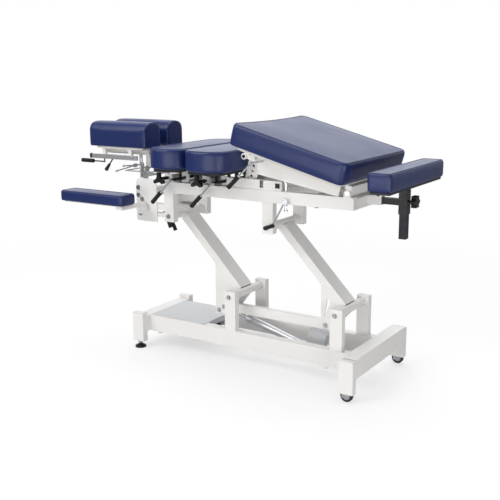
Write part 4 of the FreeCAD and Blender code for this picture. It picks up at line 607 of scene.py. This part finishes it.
def arch(y, z, inset):
    """Section across a head cushion in millimetres: (y, z, outward y, outward z), flat below and arched above."""
    across, middle = y[1] - y[0], (y[0] + y[1]) / 2
    rise = HEAD_ARCH * across
    spring = z[1] - rise
    flat, upright, curved = HEAD_FLAT_POINTS, HEAD_SIDE_POINTS, HEAD_ARCH_POINTS
    found = [(y[0] + (y[1] - y[0]) * k / flat, z[0], 0, -1) for k in range(flat)]
    found += [(y[1], z[0] + (spring - z[0]) * k / upright, 1, 0) for k in range(upright)]
    power = 2 / HEAD_SQUARENESS
    for k in range(curved):
        turn = math.pi * k / curved
        ny, nz = math.cos(turn), math.sin(turn)
        fy, fz = math.copysign(abs(ny) ** power, ny), nz ** power
        found.append((middle + across / 2 * fy, spring + rise * fz, ny, nz))
    found += [(y[0], spring + (z[0] - spring) * k / upright, -1, 0) for k in range(upright)]
    return [(a - na * inset, b - max(nb, 0) * inset, na, nb) for a, b, na, nb in found]


def stacked(name, rings):
    """A closed skin through rings with the same number of points."""
    count = len(rings[0])
    points = [p for ring in rings for p in ring]
    faces = [tuple(range(count))[::-1], tuple(range((len(rings) - 1) * count, len(rings) * count))]
    for row in range(len(rings) - 1):
        for k in range(count):
            a, b = row * count + k, row * count + (k + 1) % count
            faces.append((a, b, b + count, a + count))
    return outward(mesh_of(name, points, faces))


def evaluated(piece):
    """The piece's mesh with its modifiers, as a new mesh."""
    graph = bpy.context.evaluated_depsgraph_get()
    return bpy.data.meshes.new_from_object(piece.evaluated_get(graph), depsgraph=graph)


def coordinates(mesh):
    """A mesh's vertex places as an array."""
    co = np.zeros(len(mesh.vertices) * 3, np.float32)
    mesh.vertices.foreach_get("co", co)
    return co.reshape(-1, 3).astype(float)


def soothed(values, edges, rounds):
    """Averages a value per vertex with its neighbours'."""
    count = np.bincount(edges.ravel(), minlength=len(values))[:, None]
    for _ in range(rounds):
        total = np.zeros_like(values)
        np.add.at(total, edges[:, 0], values[edges[:, 1]])
        np.add.at(total, edges[:, 1], values[edges[:, 0]])
        values = 0.5 * values + 0.5 * total / np.maximum(count, 1)
    return values


def distances(places, paths):
    """How far each place is from the nearest point of the paths."""
    finder = point_finder([p for path in paths for p in path])
    return np.array([finder.find(p)[2] for p in places])


def cloth_swell(work, rest, pinned, puff):
    """How far each vertex moves when the skin is blown up as cloth, and at most the puff."""
    group = work.vertex_groups.new(name="hold")
    steps = np.round(pinned, 1)
    for weight in np.unique(steps):
        if weight > 0:
            group.add(np.nonzero(steps == weight)[0].tolist(), float(weight), "REPLACE")
    cloth = work.modifiers.new("Cloth", "CLOTH")
    s = cloth.settings
    s.quality, s.mass = 5, 0.25
    s.tension_stiffness = s.compression_stiffness = 14
    s.shear_stiffness, s.bending_stiffness = 8, 1.0
    s.use_pressure, s.uniform_pressure_force = True, PRESSURE
    s.effector_weights.gravity = 0.0
    s.vertex_group_mass, s.pin_stiffness = "hold", 1.0
    cloth.collision_settings.use_collision = False
    cloth.point_cache.frame_start, cloth.point_cache.frame_end = 1, FRAMES
    for f in range(1, FRAMES + 1):
        scene.frame_set(f)
    moved = coordinates(evaluated(work)) - rest
    work.modifiers.clear()
    scene.frame_set(1)
    length = np.linalg.norm(moved, axis=1, keepdims=True)
    return moved * np.minimum(1, puff * MM / np.maximum(length, 1e-9))


def stuffed(name, mesh, seams, limits, voxel, puff):
    """A cloth skin round foam: blown up between its seams, which hold it in, and over its stapled underside."""
    work = bpy.data.objects.new(name + "_work", mesh)
    scene.collection.objects.link(work)
    remesh = work.modifiers.new("Remesh", "REMESH")
    remesh.mode = "VOXEL"
    remesh.voxel_size = voxel * MM
    smooth = work.modifiers.new("Smooth", "SMOOTH")
    smooth.iterations = 2
    start = evaluated(work)
    work.modifiers.clear()
    work.data = start
    rest = coordinates(start)
    low, high = np.array(limits[0]), np.array(limits[1])
    ends = np.zeros(len(start.edges) * 2, np.int32)
    start.edges.foreach_get("vertices", ends)
    ends = ends.reshape(-1, 2)
    away = distances(rest, seams) / MM
    pinned = np.where(rest[:, 2] < low[2] + UNDERSIDE * MM, 1.0, np.clip(1.35 - away / SEAM_HOLD, 0, 1))
    moved = cloth_swell(work, rest, pinned, puff)
    moved = soothed(moved, ends, 3)
    final = np.clip(rest + moved, low, high)
    start.vertices.foreach_set("co", final.astype(np.float32).ravel())
    start.update()
    fine = work.modifiers.new("Fine", "SUBSURF")
    fine.levels = fine.render_levels = 1
    skin = evaluated(work)
    bpy.data.objects.remove(work)
    return outward(skin)


def landed(tree, aims):
    """Where rays toward each aim, along its way in, meet the pad: (place, normal)."""
    found = []
    for aim, way in aims:
        hit, normal, _, _ = tree.ray_cast(aim - way * (RAY_START * MM), way)
        if hit is not None:
            found.append((hit, normal))
    return found


def mark_seams(mesh, seams):
    """Writes each vertex's signed distance from the nearest seam, in millimetres."""
    points, across = [], []
    for path in seams:
        for i, (p, normal) in enumerate(path):
            after, before = path[(i + 1) % len(path)], path[i - 1]
            points.append(p)
            across.append((after[0] - before[0]).normalized().cross(normal).normalized())
    finder = point_finder(points)
    values = np.full(len(mesh.vertices), SEAM_FAR, np.float32)
    for v in mesh.vertices:
        _, i, d = finder.find(v.co)
        offset = (v.co - points[i]).dot(across[i]) / MM
        values[v.index] = offset if d < SEAM_REACH * MM else math.copysign(SEAM_FAR, offset)
    mesh.attributes.new("seam", "FLOAT", "POINT").data.foreach_set("value", values)


def repeated(name, paths, pitch, length, radius, material):
    """Small rounded bars set end to end along closed paths, by a geometry node tree, as one plain mesh."""
    points, edges = [], []
    for path in paths:
        first = len(points)
        points += [tuple(p) for p in path]
        edges += [(first + k, first + (k + 1) % len(path)) for k in range(len(path))]
    line = bpy.data.meshes.new(name)
    line.from_pydata(points, edges, [])
    work = bpy.data.objects.new(name + "_work", line)
    scene.collection.objects.link(work)
    tree = bpy.data.node_groups.new(name + "_rows", "GeometryNodeTree")
    sockets = {"Path": ("Geometry", None), "Pitch": ("Float", pitch * MM), "Length": ("Float", length * MM),
               "Radius": ("Float", radius * MM), "Finish": ("Material", material)}
    for label, (kind, _) in sockets.items():
        tree.interface.new_socket(name=label, in_out="INPUT", socket_type="NodeSocket" + kind)
    tree.interface.new_socket(name="Rows", in_out="OUTPUT", socket_type="NodeSocketGeometry")
    given = add_node(tree, "NodeGroupInput").outputs
    curve = add_node(tree, "GeometryNodeMeshToCurve", {"Mesh": given["Path"]}).outputs["Curve"]
    places = add_node(tree, "GeometryNodeCurveToPoints", {"Curve": curve, "Length": given["Pitch"]},
                      mode="LENGTH").outputs
    ball = add_node(tree, "GeometryNodeMeshUVSphere", {"Segments": 8, "Rings": 6, "Radius": 1.0})
    half = add_node(tree, "ShaderNodeMath", {0: given["Length"], 1: 0.5}, operation="MULTIPLY")
    scale = add_node(tree, "ShaderNodeCombineXYZ", {"X": given["Radius"], "Y": given["Radius"], "Z": half.outputs[0]})
    bar = add_node(tree, "GeometryNodeTransform", {"Geometry": ball.outputs["Mesh"], "Scale": scale.outputs[0]})
    rows = add_node(tree, "GeometryNodeInstanceOnPoints", {
        "Points": places["Points"], "Instance": bar.outputs[0], "Rotation": places["Rotation"]})
    real = add_node(tree, "GeometryNodeRealizeInstances", {"Geometry": rows.outputs[0]})
    coloured = add_node(tree, "GeometryNodeSetMaterial", {"Geometry": real.outputs[0], "Material": given["Finish"]})
    add_node(tree, "NodeGroupOutput", {"Rows": coloured.outputs[0]})
    modifier = work.modifiers.new("Rows", "NODES")
    modifier.node_group = tree
    for item in tree.interface.items_tree:
        if item.in_out == "INPUT" and sockets[item.name][1] is not None:
            modifier[item.identifier] = sockets[item.name][1]
    work.data.update()
    mesh = evaluated(work)
    mesh.name = name
    mesh.materials.clear()
    bpy.data.objects.remove(work)
    return mesh


def shifted(path, across):
    """A seam's path moved sideways over the surface, and lifted a little."""
    n = len(path)
    found = []
    for i, (p, normal) in enumerate(path):
        along = (path[(i + 1) % n][0] - path[i - 1][0]).normalized()
        found.append(p + along.cross(normal).normalized() * across * MM + normal * (STITCH_RISE * MM))
    return found


def upholster(name, body, mesh, seams, turn):
    """Finishes a pad: seam marks, a fine bead along each seam and a row of stitches beside it."""
    mark_seams(mesh, seams)
    beads = [tube(name + "_bead", [p + n * (BEAD_RISE * MM) for p, n in path], BEAD_RADIUS, closed=True)
             for path in seams]
    tree = surface(mesh)
    rows = [[tree.find_nearest(p)[0] for p in shifted(path, -STITCH_INSET)] for path in seams]
    stitches = repeated(name + "_stitches", rows, STITCH_PITCH, STITCH_LENGTH, STITCH_RADIUS, thread)
    for made in [mesh, stitches] + beads:
        made.transform(turn)
    piece = add_piece(name + "_cover", mesh, body, seamed_vinyl)
    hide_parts(name)
    for k, bead in enumerate(beads):
        fitted("%s_bead_%d" % (name, k), bead, body, "navy_vinyl")
    add_piece(name + "_stitches", stitches, body, thread)


def pad(name, body, plan, bottom, seam, crown, corner, dip, inset, raised=False):
    """A boxed pad with its top panel sewn in."""
    rings = [[at(x, y, bottom + rise * (seam - bottom)) for x, y, _, _ in outline(plan, corner, share, dip)]
             for rise, share in PAD_SIDE]
    edge = outline(plan, corner, inset, dip)
    welt = [at(x, y, seam) for x, y, _, _ in edge]
    limits = (at(plan[0], plan[2], bottom), at(plan[1], plan[3], crown))
    voxel = WIDE_VOXEL if raised else VOXEL
    skin = stuffed(name, stacked(name, rings), [welt], limits, voxel, crown - seam + CROWN_ROOM)
    aims = [(at(x, y, seam), Vector((-nx * AIM_IN, -ny * AIM_IN, -AIM_DOWN)).normalized()) for x, y, nx, ny in edge]
    upholster(name, body, skin, [landed(surface(skin), aims)], RAISED if raised else LEVEL)


def head_pad(name, body, side):
    """An arched cushion with an end panel sewn in at each end."""
    y = sorted(side * v for v in HEAD_Y)
    x0, x1 = HEAD_X
    places = [(x0 + a, i) for a, i in HEAD_END] + [(x1 - a, i) for a, i in HEAD_END[::-1]]
    rings = [[at(x, a, b) for a, b, _, _ in arch(y, HEAD_Z, inset)] for x, inset in places]
    loop = arch(y, HEAD_Z, HEAD_SEAM_INSET)
    paths, aims = [], []
    for x, way in ((x0 + HEAD_SEAM_FROM_END, -1), (x1 - HEAD_SEAM_FROM_END, 1)):
        paths.append([at(x, a, b) for a, b, _, _ in loop])
        aims.append([(at(x, a, b), Vector((-way, -na, -nb)).normalized()) for a, b, na, nb in loop])
    limits = (at(x0, y[0], HEAD_Z[0]), at(x1, y[1], HEAD_Z[1]))
    skin = stuffed(name, stacked(name, rings), paths, limits, VOXEL, HEAD_PUFF)
    tree = surface(skin)
    upholster(name, body, skin, [landed(tree, aim) for aim in aims], LEVEL)


for name, facts in PADS.items():
    pad(name, **facts)
for name, (body, side) in HEAD_PADS.items():
    head_pad(name, body, side)

# Small fittings


def bolt(name, place, direction, body, radius, finish="zinc"):
    """A chamfered round bolt head on a washer, with a dished socket."""
    r = radius
    profile = [(0, r * 1.25), (0.9, r * 1.32), (1.5, r * 1.25), (1.6, r), (5.6, r), (6.4, r * 0.82), (6.4, r * 0.5),
               (4.6, r * 0.44), (4.4, 0.4)]
    fitted(name, turned(name, profile, place, direction, 48), body, finish)


GRIP_RINGS = 25


def grip(name, start, end, radius, body, move):
    """A moulded grip: a collar, a slightly waisted ribbed barrel and a domed end."""
    start, end = Vector(start), Vector(end)
    length = (end - start).length / MM
    profile = [(0, radius * 0.62), (0.4, radius * 0.80), (3.0, radius * 0.84), (3.6, radius * 1.0)]
    for k in range(1, GRIP_RINGS):
        t = k / GRIP_RINGS
        waist = 1.0 - 0.05 * math.sin(math.pi * t)
        rib = -0.022 if k % 2 and 0.12 < t < 0.88 else 0.0
        profile.append((3.6 + (length - 8.6) * t, radius * (waist + rib)))
    profile += [(length - 4.2, radius * 1.0), (length - 1.6, radius * 0.90), (length - 0.3, radius * 0.62),
                (length, radius * 0.3)]
    mesh = turned(name, profile, start, end - start, 32)
    mesh.transform(move)
    return fitted(name, mesh, body, "black_plastic")


def ring(name, place, direction, inner, outer, width, body, finish, move):
    """A turned collar with chamfered edges round a rod or pin."""
    profile = [(0, inner), (0, outer - 0.8), (0.8, outer), (width - 0.8, outer), (width, outer - 0.8), (width, inner)]
    mesh = turned(name, profile, place, direction, 32)
    mesh.transform(move)
    fitted(name, mesh, body, finish)


def reach(x, z, distance, angle):
    """The place at a distance along a rod that leaves a shaft at an angle."""
    return x + distance * math.cos(math.radians(angle)), z + distance * math.sin(math.radians(angle))


LEVERS = {
    # name: shaft x and z, distance from the middle, angle of the rod, pose, body
    "thoracic": (268, 793, 216, 224, LEVEL, "thoracic_lever"),
    "lumbar": (478, 793, 216, 224, LEVEL, "lumbar_lever"),
    "pelvic": (666, 790, 236, 239, RAISED, "pelvic_cocking_lever"),
}
GRIP_START, GRIP_END, FERRULE_START = 80, 150, 75
GRIP_RADIUS, RELEASE_GRIP_RADIUS = 9.6, 9.0
# Bare stretches of a lever's shaft, between its hub, bearings and crank rollers
SLEEVES = ((-209, -119), (-109, -68), (-52, 52), (68, 109))


def lever_details():
    """Ribbed grips and ferrules on the levers, and black sleeves on the shafts of the two level ones."""
    for name, (x, z, near, angle, move, body) in LEVERS.items():
        a, b, c = (reach(x, z, d, angle) for d in (GRIP_START, GRIP_END, FERRULE_START))
        way = at(a[0], 0, a[1]) - at(x, 0, z)
        made = grip(name + "_ribbed_grip", at(a[0], -near, a[1]), at(b[0], -near, b[1]), GRIP_RADIUS, body, move)
        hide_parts(name + "_lever_grip")
        ring(name + "_grip_ferrule", at(c[0], -near, c[1]), way, 3.6, 6.2, 5.0, body, "chrome", move)
        if move is LEVEL:
            for k, (start, end) in enumerate(SLEEVES):
                ring("%s_shaft_sleeve_%d" % (name, k + 1), at(x, start, z), TO_FAR_SIDE, 5.05, 6.6, end - start,
                     body, "black_plastic", move)
    start, end = at(731, -149, 633), at(731, -216, 633)
    grip("release_ribbed_grip", start, end, RELEASE_GRIP_RADIUS, "tilt_release_lever", LEVEL)


def brick(name, low, high, rounding, body, slot):
    """A block with rounded edges."""
    bm = bmesh.new()
    bmesh.ops.create_cube(bm, size=1.0)
    size, middle = high - low, (high + low) / 2
    for v in bm.verts:
        v.co = Vector([v.co[k] * size[k] for k in range(3)]) + middle
    bmesh.ops.bevel(bm, geom=bm.edges[:], offset=rounding * MM, segments=3, profile=0.5, affect="EDGES")
    mesh = bpy.data.meshes.new(name)
    bm.to_mesh(mesh)
    bm.free()
    fitted(name, sharpen(outward(mesh), 40), body, slot)


def knob(name, place, direction, radius, height, lobes, body):
    """A small lobed hand nut with a domed top."""
    def lobed(angle):
        return 0.80 + 0.20 * math.cos(lobes * angle)

    shape = ((0, 0.45), (0.3, 0.5), (0.42, 0.92), (0.5, 1.0), (0.85, 1.0), (0.96, 0.86), (1.0, 0.4))
    profile = [(a * height, b * radius) for a, b in shape]
    fitted(name, turned(name, profile, place, direction, 60, lobed), body, "black_plastic")


def base_fittings():
    """Nuts on the levelling studs and bolts through the castors."""
    low, high = (Vector(c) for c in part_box("castor_forks"))
    for side, where, hand in ((-1, "near", "right"), (1, "far", "left")):
        bolt("foot_nut_" + where, at(30, side * 175, 21.5), UP, "base", 9.5)
        hub = [Vector(c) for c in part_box("castor_hub_" + hand)]
        middle = (hub[0] + hub[1]) / 2
        face = low.y if side < 0 else high.y
        bolt("castor_bolt_" + where, Vector((middle.x, face, middle.z)), (0, side, 0), "base", 4.6)


def pelvic_fittings():
    """Boss with its bolt, and two bolts beside it, on the near bracket of the pelvic section."""
    face = [(0, 12.0), (0.8, 13.0), (5.0, 13.0), (6.2, 11.8), (6.2, 7.4), (5.2, 7.0), (5.2, 0.4)]
    boss = turned("pelvic_boss", face, at(578, -146, 782), TO_NEAR_SIDE, 40)
    boss.transform(RAISED)
    fitted("pelvic_boss", boss, "pelvic", "white_coat")
    bolt("pelvic_boss_bolt", RAISED @ at(578, -151.2, 782), TO_NEAR_SIDE, "pelvic", 5.4, "black_steel")
    bolt("pelvic_bracket_bolt", RAISED @ at(603, -146, 803), TO_NEAR_SIDE, "pelvic", 6.4)
    bolt("pelvic_bracket_bolt_foot", RAISED @ at(632, -146, 792), TO_NEAR_SIDE, "pelvic", 5.2)


def frame_fittings():
    """Nut of a stop screw, clamp block of the foot sleeve, hand nut and rubber stop on the upper frame."""
    bolt("stop_screw_nut", at(775, -125, 697), DOWN, "upper", 7.0)
    brick("sleeve_block", at(1112, -17.2, 764), at(1137, 17.2, 778), 2.0, "upper", "white_coat")
    bolt("sleeve_block_bolt", at(1125, -17.2, 771), TO_NEAR_SIDE, "upper", 4.2, "black_steel")
    knob("stop_hand_nut", at(743, -134, 793), TO_NEAR_SIDE, 13.0, 6.2, 4, "upper")
    plug = [(0, 8.0), (1.2, 8.6), (3.4, 8.2), (4.8, 6.6), (5.4, 3.0)]
    fitted("beam_stop", turned("beam_stop", plug, at(915, -125, 723), DOWN, 32), "upper", "black_plastic")


def cover_loop():
    """A wire loop on the edge of the cover."""
    loop = [at(360.5, -80, 149)]
    for k in range(13):
        turn = math.pi * k / 12
        loop.append(at(362, -73 - 7 * math.cos(turn), 135 - 6 * math.sin(turn)))
    loop.append(at(360.5, -66, 149))
    fitted("cover_loop", tube("cover_loop", loop, 1.3, sides=10), "base", "zinc")


# Middles along the table, half lengths and sides of the lift posts and of the ears
POSTS, POST_HALF, POST_Y = (505, 1012), 27, (109, 137)
EARS, EAR_HALF, EAR_Y = (190.9, 697.9), 25, (110, 140)
RAIL_TOP, BEAM_BOTTOM = 148.0, 723.0
WELD_OFFSET = 0.3
WELD_STEP, WELD_PITCH, WELD_LENGTH, WELD_RADIUS = 6.0, 2.2, 5.0, 1.5


def loop_at(x0, x1, y0, y1, z):
    """A rectangle's outline at a height."""
    corners = [(x0, y0), (x1, y0), (x1, y1), (x0, y1)]
    found = []
    for (ax, ay), (bx, by) in zip(corners, corners[1:] + corners[:1]):
        count = max(2, round(math.hypot(bx - ax, by - ay) / WELD_STEP))
        found += [at(ax + (bx - ax) * k / count, ay + (by - ay) * k / count, z) for k in range(count)]
    return found


def welds():
    """Rippled weld beads where posts stand on the rails and ears hang from the beams."""
    joins = (("base_welds", "base", POSTS, POST_HALF, POST_Y, RAIL_TOP + WELD_OFFSET),
             ("beam_welds", "upper", EARS, EAR_HALF, EAR_Y, BEAM_BOTTOM - WELD_OFFSET))
    for name, body, middles, half, across, z in joins:
        paths = [loop_at(x - half, x + half, *sorted(side * y for y in across), z)
                 for x in middles for side in (-1, 1)]
        mesh = repeated(name, paths, WELD_PITCH, WELD_LENGTH, WELD_RADIUS, looks["white_coat"])
        fitted(name, mesh, body, "white_coat")


lever_details()
base_fittings()
pelvic_fittings()
frame_fittings()
cover_loop()
welds()
